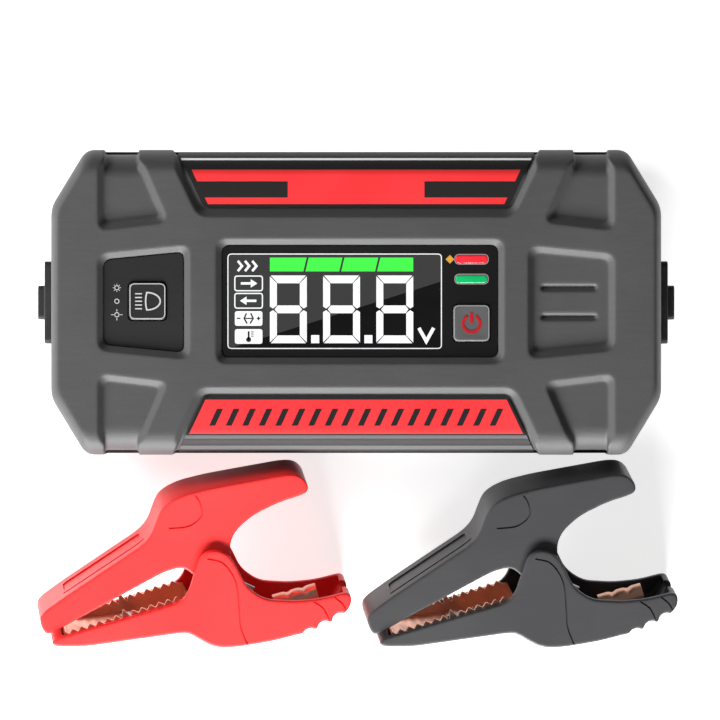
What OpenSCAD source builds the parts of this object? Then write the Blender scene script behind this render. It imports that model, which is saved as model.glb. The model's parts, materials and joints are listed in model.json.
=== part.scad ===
// Jump starter pack with two battery clamps.
// The pack lies on its underside with its face up. X runs along the case, Y across it and Z up.
// The origin is the centre of the underside of the case. The two clamps lie on the table in front of it.

/* [Case] */
// Length of the case from end to end
case_l = 204; // [170:1:245]
// Width of the case across the face
case_w = 102; // [85:1:123]
// Thickness of the case
case_h = 42; // [36:1:51]
// Wall of the two shells
wall = 2.4; // [1.8:0.1:3]
// Length of the cut corners along X
corner_x = 11.7; // [8:0.1:15]
// Length of the cut corners along Y
corner_y = 19.2; // [14:0.1:23]
// Height of the band between the two shells
band_h = 8; // [6:0.5:10]
// Run of the rounding along the long edges
edge_run = 8; // [5:0.5:9]
// Run of the rounding along the ends
end_run = 2.8; // [2:0.1:4]
// Height of the rounding of the face's edge
edge_rise = 8; // [6:0.5:9]
// Depth of the corner and label recesses
recess_d = 1.6; // [1:0.1:2]
// Width of the sloped border of a recess
bevel = 2.2; // [1.5:0.1:3]

/* [Face] */
// Length of the display window
window_l = 92; // [76:1:100]
// Width of the display window
window_w = 37.4; // [32:0.2:42]
// Offset of the display window along X
window_x = 1.3; // [-3:0.1:3]
// Thickness of the display window
window_t = 1.6; // [1.2:0.1:2]
// Side of the square power button
power_side = 12.2; // [10:0.1:14]
// Side of the square light button
light_side = 12.5; // [10:0.1:14]
// Travel of the two buttons
press = 0.8; // [0.4:0.1:1]
// Gap around each button
button_gap = 0.3; // [0.2:0.05:0.5]
// Length of the lit status bars
bar_l = 10.6; // [8:0.2:12]
// Width of the lit status bars
bar_w = 2.7; // [2:0.1:3.4]

/* [Ends] */
// Width of the rubber end covers
cover_w = 27.6; // [23:0.2:32]
// Height of the rubber end covers
cover_h = 20; // [17:0.5:22]
// Thickness of the rubber end covers
cover_t = 2.4; // [2:0.1:3]
// Width of the pull tab on each cover
tab_w = 11.4; // [8:0.2:14]
// Diameter of the two contacts in the output socket
contact_d = 5; // [4:0.1:6]

/* [Fixings] */
// Diameter of the case screws
screw_d = 3; // [2.5:0.1:3.5]
// Diameter of the case screw heads
screw_head_d = 5.6; // [5:0.1:6.5]

/* [Clamps] */
// Width of the lower arm of a clamp
clamp_w = 26; // [22:0.5:31]
// Wall of the clamp arms
clamp_wall = 2.2; // [1.8:0.1:2.6]
// Side gap between the two arms
clamp_gap = 0.4; // [0.3:0.05:0.6]
// Diameter of the pivot pin
pin_d = 4; // [3.2:0.1:4.8]
// Thickness of the copper jaws
jaw_t = 1.2; // [1:0.1:1.5]
// Diameter of the spring wire
wire_d = 1.6; // [1.3:0.1:1.9]
// Turn of the clamps on the table, from the X axis
clamp_turn = 22; // [15:1:28]
// Lean of the clamps towards the pack's side
clamp_lean = 15; // [10:1:20]

/* [Hidden] */
$fn = 48;
slack = 0.15;             // Gap between pieces that are pushed together by hand
over = 1;                 // How far a cut runs past a face

// ---- Outlines ----
function unit(v) = v / norm(v);
function side_normal(a, b) = unit([b[1] - a[1], a[0] - b[0]]);
// A convex outline, counter-clockwise, moved outwards by d
function grow(p, d) = [
    for (i = [0:len(p) - 1])
        let (n = len(p), a = p[(i + n - 1) % n], b = p[i], c = p[(i + 1) % n])
        let (n1 = side_normal(a, b), n2 = side_normal(b, c))
        b + d * (n1 + n2) / (1 + n1 * n2)
];
// An outline with each corner rounded over a length t on both sides, in k steps
function soften(p, t, k = 3) = [
    for (i = [0:len(p) - 1])
        let (n = len(p), a = p[(i + n - 1) % n], b = p[i], c = p[(i + 1) % n])
        let (from = b + t * unit(a - b), to = b + t * unit(c - b))
        for (s = [0:1 / k:1.0001]) (1 - s) * (1 - s) * from + 2 * s * (1 - s) * b + s * s * to
];
function flip_x(p) = [for (i = [len(p) - 1:-1:0]) [-p[i][0], p[i][1]]];
function flip_y(p) = [for (i = [len(p) - 1:-1:0]) [p[i][0], -p[i][1]]];
function box_outline(l, w) = [[-l / 2, -w / 2], [l / 2, -w / 2], [l / 2, w / 2], [-l / 2, w / 2]];

// The case outline, with its ends, long sides and cut corners moved inwards
function case_outline(end_in, side_in, cut_in) =
    let (a = case_l / 2, b = case_w / 2, slope = norm([corner_x, corner_y]))
    let (k = corner_y * a + corner_x * b - corner_x * corner_y - cut_in * slope)
    let (y1 = (k - corner_y * (a - end_in)) / corner_x, x1 = (k - corner_x * (b - side_in)) / corner_y)
    let (x0 = a - end_in, y0 = b - side_in)
    soften([[x0, -y1], [x0, y1], [x1, y0], [-x1, y0], [-x0, y1], [-x0, -y1], [-x1, -y0], [x1, -y0]], 3);

// A closed solid through outlines of equal length, each given as [points, z]
module loft(rings) {
    n = len(rings[0][0]);
    m = len(rings);
    points = [for (r = rings) for (p = r[0]) [p[0], p[1], r[1]]];
    sides = [
        for (j = [0:m - 2]) for (i = [0:n - 1])
            [j * n + i, (j + 1) * n + i, (j + 1) * n + (i + 1) % n, j * n + (i + 1) % n]
    ];
    base = [for (i = [0:n - 1]) i];
    cap = [for (i = [n - 1:-1:0]) (m - 1) * n + i];
    polyhedron(points, concat([base], [cap], sides), convexity = 6);
}

module slab(outline, z0, z1) {
    translate([0, 0, z0]) linear_extrude(z1 - z0) polygon(outline);
}

// ---- Case levels ----
mid_z = case_h / 2;
shell_z = mid_z + band_h / 2;             // Where the top shell starts
skin = wall + recess_d;                   // The shells are this thick where nothing is recessed
cut_run = (edge_run + end_run) / 3;       // Run of the rounding along the cut corners
edge_steps = 5;

// The upper half of the case's outer form, with its skin moved inwards by d, from z = from
module half_body(d, from) {
    loft(concat(
        [[case_outline(d, d, d), from]],
        [
            for (i = [0:edge_steps])
                let (s = i * 90 / edge_steps, f = 1 - cos(s))
                [
                    case_outline(d + end_run * f, d + edge_run * f, d + cut_run * f),
                    case_h - d - edge_rise * (1 - sin(s))
                ]
        ]
    ));
}

module as_bottom() {
    translate([0, 0, case_h]) mirror([0, 0, 1]) children();
}

// ---- Recesses in the face ----
corner_recess = let (x = case_l / 2, y = case_w / 2) [
    [x - 17.9, y - 24.8], [x - 17.9, y + 9], [x - 29.3, y + 9], [x - 29.3, y - 5.6], [x - 36.6, y - 22.6]
];
label_recess = let (x = case_l / 2 - 41, y = case_w / 2) [
    [-x + 9.5, y - 20.4], [x - 9.5, y - 20.4], [x + 4.5, y + 9], [-x - 4.5, y + 9]
];
panel_recess = let (x = case_l / 2) [
    [x - 44.5, -16.8], [x - 17.8, -14.2], [x - 17.8, 14.2], [x - 44.5, 16.8]
];
grip_recess = let (x = case_l / 2) [
    [x - 42.6, -16.6], [x - 17.8, -14.2], [x - 17.8, 14.2], [x - 42.6, 16.6]
];
recess_soft = 2.4;
groove_l = 18.6;                          // The two finger grooves in the right panel
groove_d = 1.8;
groove_pitch = 9.8;

// A recess with sloped sides, as deep as d below the case's skin, where floor is the outline of its floor
module edge_recess(floor, d) {
    difference() {
        union() {
            loft([
                [soften(floor, recess_soft), case_h - d],
                [soften(grow(floor, bevel * (1 + over / d)), recess_soft + bevel), case_h + over]
            ]);
            slab(soften(floor, recess_soft), shell_z - over, case_h - d + 0.01);
        }
        half_body(d, shell_z - 2 * over);
    }
}

module edge_recesses() {
    for (p = [corner_recess, flip_x(corner_recess), label_recess]) {
        edge_recess(p, recess_d);
        edge_recess(flip_y(p), recess_d);
    }
}

// A sloped recess in the flat of the face
module face_recess(floor, d) {
    loft([
        [soften(floor, recess_soft), case_h - d],
        [soften(grow(floor, bevel * (1 + over / d)), recess_soft + bevel), case_h + over]
    ]);
}

// ---- Face controls ----
window_y = 0.3;
window_outline = soften(box_outline(window_l, window_w), 2.4);
window_seat = case_h - recess_d;                       // Top of the glass and of the light panel
power_at = [window_x + window_l / 2 - 8.8, window_y - 7.3];
light_at = [32.4 - case_l / 2, window_y];
bars_at = [[power_at[0], window_y + 14], [power_at[0], window_y + 7.4]];
screen_l = window_l - 21.4;
screen_w = window_w - 6;
screen_x = window_x - 8.6;
window_lip = 1.4;                                      // Ledge that the window's edge rests on
button_rise = 0.5;                                     // How far a button stands proud of its panel
button_soft = 1.8;
flange_over = 0.8;                                     // How far a key's flange reaches under its panel
key_base = window_seat - window_t - 0.9;               // Underside of the keys
board_top = window_seat - window_t - 3.4;
board_t = 1.6;
light_outline = flip_x(grow(panel_recess, -slack));

module rounded_block(l, w, z0, z1, t) {
    slab(soften(box_outline(l, w), t), z0, z1);
}

// ---- Fixings ----
boss_d = screw_d + 4;
screw_at = [for (x = [-1, 1]) for (y = [-1, 1]) [x * (case_l / 2 - 20), y * (case_w / 2 - 14.5)]];
screw_seat = 5.5;                                      // Height of the face the screw heads bear on
screw_end = case_h - recess_d - wall - 1.5;
split_z = mid_z - band_h / 2;                          // Top of the bottom shell

// ---- Ends ----
port_w = cover_w - 5;
port_h = cover_h - 6;
port_z = mid_z;
end_x = case_l / 2;

module port_cut() {
    translate([end_x - skin - over, -port_w / 2, port_z - port_h / 2])
        cube([skin + 2 * over, port_w, port_h]);
}

lamp_d = 12;
lamp_y = case_w / 2 - corner_y - lamp_d / 2 - 4.5;

module lamp_bore(d) {
    translate([-end_x - over, lamp_y, mid_z]) rotate([0, 90, 0]) cylinder(d = d, h = skin + 2 * over);
}

module shell_cuts() {
    port_cut();
    mirror([1, 0, 0]) port_cut();
    lamp_bore(lamp_d);
}

// The top shell: a hollow cap with the face, its recesses, its windows and four screw bosses
module top_case() {
    color("dimgray") difference() {
        union() {
            difference() {
                half_body(0, shell_z);
                half_body(skin, shell_z - over);
            }
            for (p = screw_at) translate([p[0], p[1], shell_z])
                cylinder(d = boss_d, h = case_h - shell_z - recess_d - 0.6);
        }
        edge_recesses();
        translate([window_x, window_y, 0]) face_recess(box_outline(window_l, window_w), recess_d);
        face_recess(grip_recess, recess_d);
        face_recess(flip_x(panel_recess), recess_d);
        translate([window_x, window_y, 0]) slab(window_outline, window_seat - window_t, case_h);
        translate([window_x, window_y, 0])
            rounded_block(window_l - 2 * window_lip, window_w - 2 * window_lip, case_h - 2 * skin, case_h, 2);
        slab(soften(flip_x(panel_recess), recess_soft), window_seat - window_t, case_h);
        translate([light_at[0], light_at[1], 0])
            rounded_block(light_side + 3, light_side + 3, case_h - 2 * skin, case_h, 2);
        for (y = [-1, 1])
            translate([case_l / 2 - 31, y * groove_pitch / 2, case_h - recess_d])
                rotate([0, 90, 0]) cylinder(d = groove_d, h = groove_l, center = true);
        for (p = screw_at) translate([p[0], p[1], shell_z - over])
            cylinder(d = screw_d + 0.04, h = screw_end - shell_z + over + 0.3);
        shell_cuts();
    }
}

// The bottom shell: the same form turned over, with screw posts that reach the top shell's bosses
module bottom_case() {
    color("dimgray") difference() {
        union() {
            as_bottom() difference() {
                half_body(0, shell_z);
                half_body(skin, shell_z - over);
            }
            for (p = screw_at) translate([p[0], p[1], recess_d + 0.6])
                cylinder(d = screw_head_d + 3, h = shell_z - recess_d - 0.6 - slack);
        }
        as_bottom() edge_recesses();
        for (p = screw_at) {
            translate([p[0], p[1], -over]) cylinder(d = screw_head_d + 0.6, h = screw_seat + over);
            translate([p[0], p[1], 0]) cylinder(d = screw_d + 0.4, h = case_h);
        }
        shell_cuts();
    }
}

// The band that closes the joint between the shells; it shows in the recesses of the long sides
band_in = 0.5;
module centre_band() {
    color("#151515") difference() {
        slab(case_outline(band_in, band_in, band_in), split_z, shell_z);
        slab(case_outline(skin, skin, skin), split_z - over, shell_z + over);
        shell_cuts();
    }
}

// The smoked window over the display, with openings for the power button and the two lit bars
module display_window() {
    color("#0c0c0e") difference() {
        translate([window_x, window_y, 0])
            slab(soften(box_outline(window_l - 2 * slack, window_w - 2 * slack), 2.4), window_seat - window_t,
                window_seat);
        translate([power_at[0], power_at[1], 0])
            rounded_block(power_side + 2 * button_gap, power_side + 2 * button_gap, 0, case_h, button_soft);
        for (p = bars_at) translate([p[0], p[1], 0])
            rounded_block(bar_l + 0.2, bar_w + 0.2, 0, case_h, bar_w / 2);
    }
}

// The segment display under the window
module display_panel() {
    color("#26282b") translate([screen_x, window_y, 0])
        rounded_block(screen_l, screen_w, window_seat - window_t - 3, window_seat - window_t - 0.1, 1);
}

// The board that carries the display, the switches and the lights
board_x = [light_at[0] - light_side / 2 - 5, window_x + window_l / 2 - 3];
board_screw_at = [[window_x + window_l / 2 - 16.6, window_y], [light_at[0] + 12, light_at[1]]];
board_screw_d = 2.2;
module control_board() {
    color("darkgreen") difference() {
        translate([(board_x[0] + board_x[1]) / 2, window_y, 0])
            rounded_block(board_x[1] - board_x[0], window_w - 8, board_top - board_t, board_top, 1);
        for (p = board_screw_at) translate([p[0], p[1], 0]) cylinder(d = board_screw_d + 0.2, h = case_h);
    }
}

// The black panel around the light button
module light_panel() {
    color("#1c1c1c") difference() {
        slab(soften(light_outline, recess_soft), window_seat - window_t, window_seat);
        translate([light_at[0], light_at[1], 0])
            rounded_block(light_side + 2 * button_gap, light_side + 2 * button_gap, 0, case_h, button_soft);
    }
}

// A square key with a flange under its panel that keeps it in
module key(at, side) {
    wide = side + 2 * flange_over;
    translate([at[0], at[1], 0]) {
        rounded_block(side, side, key_base, window_seat + button_rise, button_soft);
        rounded_block(wide, wide, key_base, window_seat - window_t - 0.1, button_soft);
    }
}

module light_button() {
    color("#4a4a4c") key(light_at, light_side);
}

module power_button() {
    color("#4a4a4c") key(power_at, power_side);
}

// Two dome switches on the board, one under each button
switch_side = 5.2;
module button_switches() {
    dome_h = key_base - press - 0.1 - board_top;
    color("silver") for (p = [light_at, power_at]) translate([p[0], p[1], board_top]) {
        translate([-switch_side / 2, -switch_side / 2, 0]) cube([switch_side, switch_side, dome_h * 0.6]);
        cylinder(d = 3, h = dome_h);
    }
}

pipe_rise = 0.2;                                       // How far a light pipe stands proud of the window
module light_pipe(at) {
    neck_top = window_seat - window_t - 0.6;
    translate([at[0], at[1], 0]) {
        rounded_block(bar_l, bar_w, neck_top, window_seat + pipe_rise, bar_w / 2 - 0.05);
        rounded_block(bar_l - 2, bar_w - 0.8, board_top, neck_top, 0.4);
    }
}

module fault_light_pipe() {
    color("#e8222c") light_pipe(bars_at[0]);
}

module ready_light_pipe() {
    color("#0fa958") light_pipe(bars_at[1]);
}

// A plate set in each long label recess: flat on the face and turned down over the edge
plate_t = 0.5;
plate_outline = grow(label_recess, -1.1);
module label_plate() {
    intersection() {
        difference() {
            half_body(recess_d - plate_t, shell_z + 0.4);
            half_body(recess_d, shell_z - over);
        }
        slab(soften(plate_outline, 1.6), shell_z + 0.4, case_h);
    }
}

module rear_label_plate() {
    color("#1d1b1b") label_plate();
}

module front_label_plate() {
    color("#d7262c") mirror([0, 1, 0]) label_plate();
}

// ---- End covers ----
hinge_z = port_z - cover_h / 2;
// A rubber cover with a pull tab and a rim that plugs the opening; its lower edge is the living hinge
module end_cover() {
    translate([end_x, 0, port_z]) rotate([90, 0, 90]) {
        rounded_block(cover_w, cover_h, slack / 2, cover_t, 2);
        rounded_block(tab_w, cover_h / 2, cover_t - 0.01, 2 * cover_t, 1.6);
        translate([0, 0.4, 0]) difference() {
            rounded_block(port_w - 2, port_h - 2.4, -wall, slack, 1.2);
            rounded_block(port_w - 5, port_h - 5.4, -wall - over, -0.4, 1);
        }
    }
}

module right_end_cover() {
    color("#1a1a1a") end_cover();
}

module left_end_cover() {
    color("#1a1a1a") mirror([1, 0, 0]) end_cover();
}

// ---- Sockets behind the covers ----
plug_in = wall + 0.3;                                  // Depth that a cover's rim needs
socket_l = 17;
socket_face = end_x - plug_in;
contact_pitch = 10;
flange_t = 2;

// The block of the output socket: snug in its opening, with a flange behind the wall
module output_socket() {
    color("#22406e") difference() {
        union() {
            translate([socket_face - socket_l, -port_w / 2 + slack, port_z - port_h / 2 + slack])
                cube([socket_l, port_w - 2 * slack, port_h - 2 * slack]);
            translate([end_x - skin - flange_t - 0.05, -port_w / 2 - 1.5, port_z - port_h / 2 - 1.5])
                cube([flange_t, port_w + 3, port_h + 3]);
        }
        for (y = [-1, 1]) translate([socket_face - socket_l - over, y * contact_pitch / 2, port_z])
            rotate([0, 90, 0]) cylinder(d = contact_d + 2.04, h = socket_l + 2 * over);
    }
}

module output_contacts() {
    color("gold") for (y = [-1, 1]) translate([socket_face - socket_l - 4, y * contact_pitch / 2, port_z])
        rotate([0, 90, 0]) difference() {
            cylinder(d = contact_d + 2, h = socket_l + 3.5);
            translate([0, 0, 4]) cylinder(d = contact_d, h = socket_l + over);
        }
}

// Each charging socket as [place along Y, width, height, corner]
usb_a = [-5.2, 11, 5.4, 0.6];
usb_c = [5.6, 9, 3.3, 1.5];
usb_base = port_z - usb_a[2] / 2;                      // Top of the board that carries them
usb_l = 12;

module at_usb(u) {
    translate([-socket_face, u[0], usb_base + u[2] / 2]) rotate([90, 0, 90]) children();
}

// A sheet-metal shell, open at the mouth, with its contact tongue
module usb_socket(u, tongue, colour) {
    at_usb(u) {
        difference() {
            rounded_block(u[1], u[2], 0, usb_l, u[3]);
            rounded_block(u[1] - 0.8, u[2] - 0.8, -over, usb_l - 1, u[3] - 0.3);
        }
        color(colour) translate([0, tongue, 0]) rounded_block(u[1] - 2.4, 0.9, 1, usb_l - 0.99, 0.3);
    }
}

module usb_a_socket() {
    color("silver") usb_socket(usb_a, 0.9, "white");
}

module usb_c_socket() {
    color("silver") usb_socket(usb_c, 0, "black");
}

module usb_bezel() {
    color("#202022") difference() {
        translate([-socket_face - 0.1, -port_w / 2 + slack, port_z - port_h / 2 + slack])
            cube([skin - plug_in + 1.2, port_w - 2 * slack, port_h - 2 * slack]);
        for (u = [usb_a, usb_c])
            at_usb(u) rounded_block(u[1] + 2 * slack, u[2] + 2 * slack, -over, 2 * usb_l, u[3]);
        translate([-end_x + skin - over, -port_w, usb_base - board_t - slack])
            cube([skin + over, 2 * port_w, board_t + slack]);
    }
}

module usb_board() {
    color("darkgreen") translate([-end_x + skin, 1 - port_w / 2, usb_base - board_t])
        cube([22, port_w - 2, board_t - 0.02]);
}

// ---- Lamp in the left end ----
module lamp_lens() {
    color("#e6eef2") translate([-end_x, lamp_y, mid_z]) rotate([0, 90, 0]) {
        cylinder(d = lamp_d - 0.2, h = skin + 0.1);
        translate([0, 0, skin + 0.1]) cylinder(d = lamp_d + 2, h = 1.2);
    }
}

lamp_side = 14;
lamp_chip = 3.2;
module lamp_board() {
    color("white") translate([-end_x + skin + 1.5, lamp_y, mid_z]) {
        translate([0, -lamp_side / 2, -lamp_side / 2]) cube([1.2, lamp_side, lamp_side]);
        translate([-0.1, -lamp_chip / 2, -lamp_chip / 2]) cube([0.2, lamp_chip, lamp_chip]);
    }
}

// ---- Power board, cells and tray ----
cell_l = case_l - 76;
cell_w = case_w - 34;
cell_n = 3;
tray_z = skin + 0.2;
cell_z = tray_z + 1.6;
stack_top = board_top - board_t - 5.2;
pad_t = 0.8;
cell_t = (stack_top - cell_z) / cell_n - pad_t;
module cell_tray() {
    color("#303236") difference() {
        translate([-cell_l / 2 - 2, -cell_w / 2 - 2, tray_z]) cube([cell_l + 4, cell_w + 4, cell_t + 4]);
        translate([-cell_l / 2 - 0.2, -cell_w / 2 - 0.2, cell_z]) cube([cell_l + 0.4, cell_w + 0.4, case_h]);
    }
}

module battery_cells() {
    color("#b9bcc2") for (i = [0:cell_n - 1]) translate([0, 0, cell_z + i * (cell_t + pad_t)])
        rounded_block(cell_l, cell_w, 0, cell_t, 2);
}

module cell_pads() {
    color("#8d8f93") for (i = [0:cell_n - 2]) translate([0, 0, cell_z + cell_t + i * (cell_t + pad_t)])
        rounded_block(cell_l - 10, cell_w - 10, 0, pad_t, 2);
}

power_top = stack_top + 1 + board_t;                   // Top of the power board
power_screw_at = [for (x = [-1, 1]) [x * (cell_l / 2 - 2), 0]];
module power_board() {
    color("darkgreen") difference() {
        rounded_block(cell_l + 6, cell_w - 6, power_top - board_t, power_top, 1);
        for (p = power_screw_at) translate([p[0], p[1], 0]) cylinder(d = board_screw_d + 0.2, h = case_h);
    }
}

module screw(d, head_d, head_h, l) {
    difference() {
        cylinder(d = head_d, h = head_h);
        for (a = [0, 90]) rotate([0, 0, a]) translate([-head_d / 4, -0.4, -over])
            cube([head_d / 2, 0.8, over + 1]);
    }
    translate([0, 0, head_h - 0.01]) cylinder(d = d, h = l);
}

module case_screws() {
    color("#8a8c90") for (p = screw_at) translate([p[0], p[1], screw_seat - 2])
        screw(screw_d, screw_head_d, 2, screw_end - screw_seat);
}

module board_screw(at, top) {
    translate([at[0], at[1], top + 1.2]) mirror([0, 0, 1]) screw(board_screw_d, 4, 1.2, 3);
}

// Two small screws in each board
module board_screws() {
    color("#8a8c90") {
        for (p = board_screw_at) board_screw(p, board_top);
        for (p = power_screw_at) board_screw(p, power_top);
    }
}

// ---- Clamps ----
// A clamp is drawn closed, with U from its tip to its handle, V from the lower arm to the upper and W across.
pivot = [57, 0];
inner_w = clamp_w - 2 * clamp_wall;
upper_w = inner_w - 2 * clamp_gap;

lower_profile = [
    [-1.8, -0.6], [-2.2, -3], [8, -7.2], [38, -15], [41.5, -16.2], [44.5, -20.6], [48, -24.6], [54, -27],
    [66, -29.8], [80, -31.8], [91, -31], [95.6, -28.6], [97, -24], [87, -22.6], [78.5, -20], [69.2, -15.4],
    [65.2, -9], [64.8, -1], [63.8, 3.6], [61.2, 6.6], [57.6, 7.8], [54.2, 6.6], [51.6, 3.2], [46.4, -3.4],
    [42.4, -5.2]
];
upper_profile = [
    [-2.4, 0.6], [42, 6], [48.4, 5.2], [52, -2.6], [54.6, -5.6], [57.6, -6.6], [61, -5.6], [63.4, -1.6],
    [65, 5.8], [68.6, 9.8], [76, 12.6], [86, 13.4], [96, 12.6], [97.4, 15.4], [96, 19.4], [92, 21.4],
    [80, 24], [66, 27], [56, 28.4], [49.6, 27.4], [46.4, 24.4], [42.4, 19.6], [38, 17.4], [8, 11],
    [-1.4, 8.6], [-3.2, 6.4], [-3.4, 2.4]
];
// The hollow of each arm, open towards the other arm
lower_hollow = [
    [2, -2.6], [9, -5], [38.6, -12.6], [43, -14.2], [46.6, -19], [50, -22.6], [55, -24.7], [66, -27.4],
    [80, -29.4], [90, -28.8], [94.4, -26], [94.6, -18], [68, -4], [68, 12], [40, 12], [40, 2], [2, 2]
];
upper_hollow = [
    [2, 4.4], [2, -3], [42, -3], [47, 2], [48.6, -12], [68, -12], [68, 6], [93.4, 10], [93.4, 17.6],
    [91, 18.8], [79, 21.4], [66, 24.4], [57, 25.6], [51, 24.8], [48.6, 22.8], [45.4, 18.4], [38.6, 14.6],
    [9, 7]
];

clamp_drop = -min([for (p = lower_profile) p[1]]) * sin(clamp_lean) + clamp_w / 2 * cos(clamp_lean);
function across_y(p) = p[0] * sin(clamp_turn) + p[1] * cos(clamp_turn) * cos(clamp_lean);
clamp_reach = max([for (p = upper_profile) across_y(p)]) + clamp_w / 2 * sin(clamp_lean) * cos(clamp_turn);
clamp_y = -case_w / 2 - 1 - clamp_reach;
// The clamps are this far apart, so that the black jaws open without touching the red handle
clamp_pitch = max([for (p = lower_profile) p[0] > pivot[0] ? norm(p - pivot) : 0])
    + max([for (p = upper_profile) p[0] < pivot[0] ? norm(p - pivot) : 0]) + 1;
// Where a point of a clamp's outlines lies along X, from the clamp's origin
function along(p) = p[0] * cos(clamp_turn) - p[1] * cos(clamp_lean) * sin(clamp_turn);
clamp_points = concat(lower_profile, upper_profile);
clamp_far = [for (p = clamp_points) along(p)];
clamp_x = -(clamp_pitch + max(clamp_far) + min(clamp_far)) / 2;
clamp_at = [[clamp_x, clamp_y], [clamp_x + clamp_pitch, clamp_y]];

module place_clamp(i) {
    translate([clamp_at[i][0], clamp_at[i][1], clamp_drop])
        rotate([0, 0, clamp_turn]) rotate([clamp_lean, 0, 0]) children();
}

module plate(outline, w) {
    linear_extrude(w, center = true) polygon(outline);
}

module across(at, d, l) {
    translate([at[0], at[1], -l / 2]) cylinder(d = d, h = l);
}

entry_d = 7.5;                   // Hole for the lead in the lower handle's end
jaw_screw_d = 3;
jaw_screw_in = 1.7;              // Length of a jaw's screw in the arm's web

// Puts a screw square to an arm's web at u: from the web's inner face, into the web along -Z
module on_web(p, q, u, way) {
    v = p[1] + (q[1] - p[1]) * (u - p[0]) / (q[0] - p[0]);
    translate([u, v, 0]) rotate([0, 0, atan2(q[1] - p[1], q[0] - p[0])]) rotate([way * 90, 0, 0]) children();
}

module at_lower_screw() {
    on_web([9, -5], [38.6, -12.6], 24, -1) children();
}

module at_upper_screw() {
    on_web([9, 7], [38.6, 14.6], 24, 1) children();
}

module jaw_screw_hole() {
    translate([0, 0, -jaw_screw_in - 0.1]) cylinder(d = jaw_screw_d + 0.04, h = 8);
}

module lower_arm() {
    difference() {
        plate(lower_profile, clamp_w);
        plate(lower_hollow, inner_w);
        translate([pivot[0], pivot[1], -clamp_w / 2 - over]) cylinder(d = pin_d, h = clamp_w - 1.2 + over);
        translate([90, -24.2, 0]) rotate([0, 90, 0]) cylinder(d = entry_d, h = 12);
        at_lower_screw() jaw_screw_hole();
    }
}

module upper_arm() {
    difference() {
        plate(upper_profile, upper_w);
        plate(upper_hollow, upper_w - 2 * clamp_wall);
        across(pivot, pin_d + 0.1, clamp_w);
        at_upper_screw() jaw_screw_hole();
    }
}

// A copper jaw: a channel with teeth along both of its edges
tooth_n = 13;
tooth_pitch = 3;
tooth_h = 1.7;
big_tooth = 7;
function tooth_line(i, rise) = [3 + i * tooth_pitch, -0.25 - i * tooth_pitch * 0.085 + rise];
jaw_sides = concat(
    [[2.6, -2.2], [9.4, -4.8], [38.4, -12.3], [42, -13.4], [45.6, -9.4], [45.2, -5.4]],
    [
        for (i = [tooth_n:-1:0]) for (k = [0, 1])
            k == 0
                ? tooth_line(i + 0.5, -tooth_h / 2 - (abs(i + 0.5 - big_tooth) < 1 ? 1.4 : 0.6))
                : tooth_line(i, -0.05)
    ]
);
jaw_inside = [
    [3.8, 4], [3.8, -2.4 + jaw_t * 0.2], [9.8, -4.8 + jaw_t], [38, -12 + jaw_t], [41.2, -13 + jaw_t],
    [48, -6], [48, 4]
];
module jaw_channel(w) {
    difference() {
        plate(jaw_sides, w);
        plate(jaw_inside, w - 2 * jaw_t);
    }
}

module lower_jaw() {
    difference() {
        jaw_channel(inner_w - 0.3);
        at_lower_screw() jaw_screw_hole();
    }
}

jaw_rise = 2.2;                  // Distance between the bends of the two jaws at the tip
module upper_jaw() {
    difference() {
        translate([0, jaw_rise, 0]) mirror([0, 1, 0]) jaw_channel(upper_w - 2 * clamp_wall - 0.3);
        at_upper_screw() jaw_screw_hole();
    }
}

// The screw of a jaw, driven from inside the jaw into the arm's web
module jaw_screw() {
    translate([0, 0, -jaw_screw_in]) cylinder(d = jaw_screw_d, h = jaw_screw_in + jaw_t + 0.6);
    translate([0, 0, jaw_t + 0.5]) cylinder(d = 5.6, h = 1.4);
}

module pivot_pin() {
    translate([pivot[0], pivot[1], -clamp_w / 2]) cylinder(d = pin_d - 0.02, h = clamp_w - 1.3);
}

// The torsion spring: turns on the pin, and two legs that push the handles apart
coil_r = pin_d / 2 + wire_d / 2 + 0.3;
coil_n = 6;
turn_pitch = wire_d - 0.05;
coil_low = -(coil_n - 1) * wire_d / 2;                // Place of the first turn across the clamp
leg_slack = 0.1;
spring_legs = [[-1, -48, 18], [1, 12, 6.5]];          // Side of the coil, direction and length of each leg
module spring() {
    translate([pivot[0], pivot[1], coil_low]) {
        rotate_extrude($fn = 36) for (i = [0:coil_n - 1])
            translate([coil_r, i * turn_pitch]) circle(d = wire_d, $fn = 28);
        for (leg = spring_legs) translate([0, 0, leg[0] < 0 ? 0 : (coil_n - 1) * turn_pitch])
            rotate([0, 0, leg[1]]) translate([0, leg[0] * coil_r, 0])
                rotate([0, 90, 0]) cylinder(d = wire_d - leg_slack, h = leg[2]);
    }
}

// The crimp lug that takes the lead's wires, screwed down inside the lower handle
lug_at = [64, -25.9];
lug_turn = -7;
lug_size = [13, 1.4, 9];
lug_d = 8.2;
lug_bore = 5.8;
lug_l = 15;
module cable_lug() {
    translate([lug_at[0], lug_at[1], 0]) rotate([0, 0, lug_turn]) {
        translate([-6, 0, -lug_size[2] / 2]) cube(lug_size);
        translate([6.8, lug_d / 2, 0]) rotate([0, 90, 0]) difference() {
            cylinder(d = lug_d, h = lug_l);
            translate([0, 0, -over]) cylinder(d = lug_bore, h = lug_l + 2 * over);
        }
    }
}

module red() {
    color("#e8282c") place_clamp(0) children();
}

module black() {
    color("#3c3d3f") place_clamp(1) children();
}

module copper(i) {
    color("#c98a6c") place_clamp(i) children();
}

module steel(i) {
    color("#b8babd") place_clamp(i) children();
}

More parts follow.
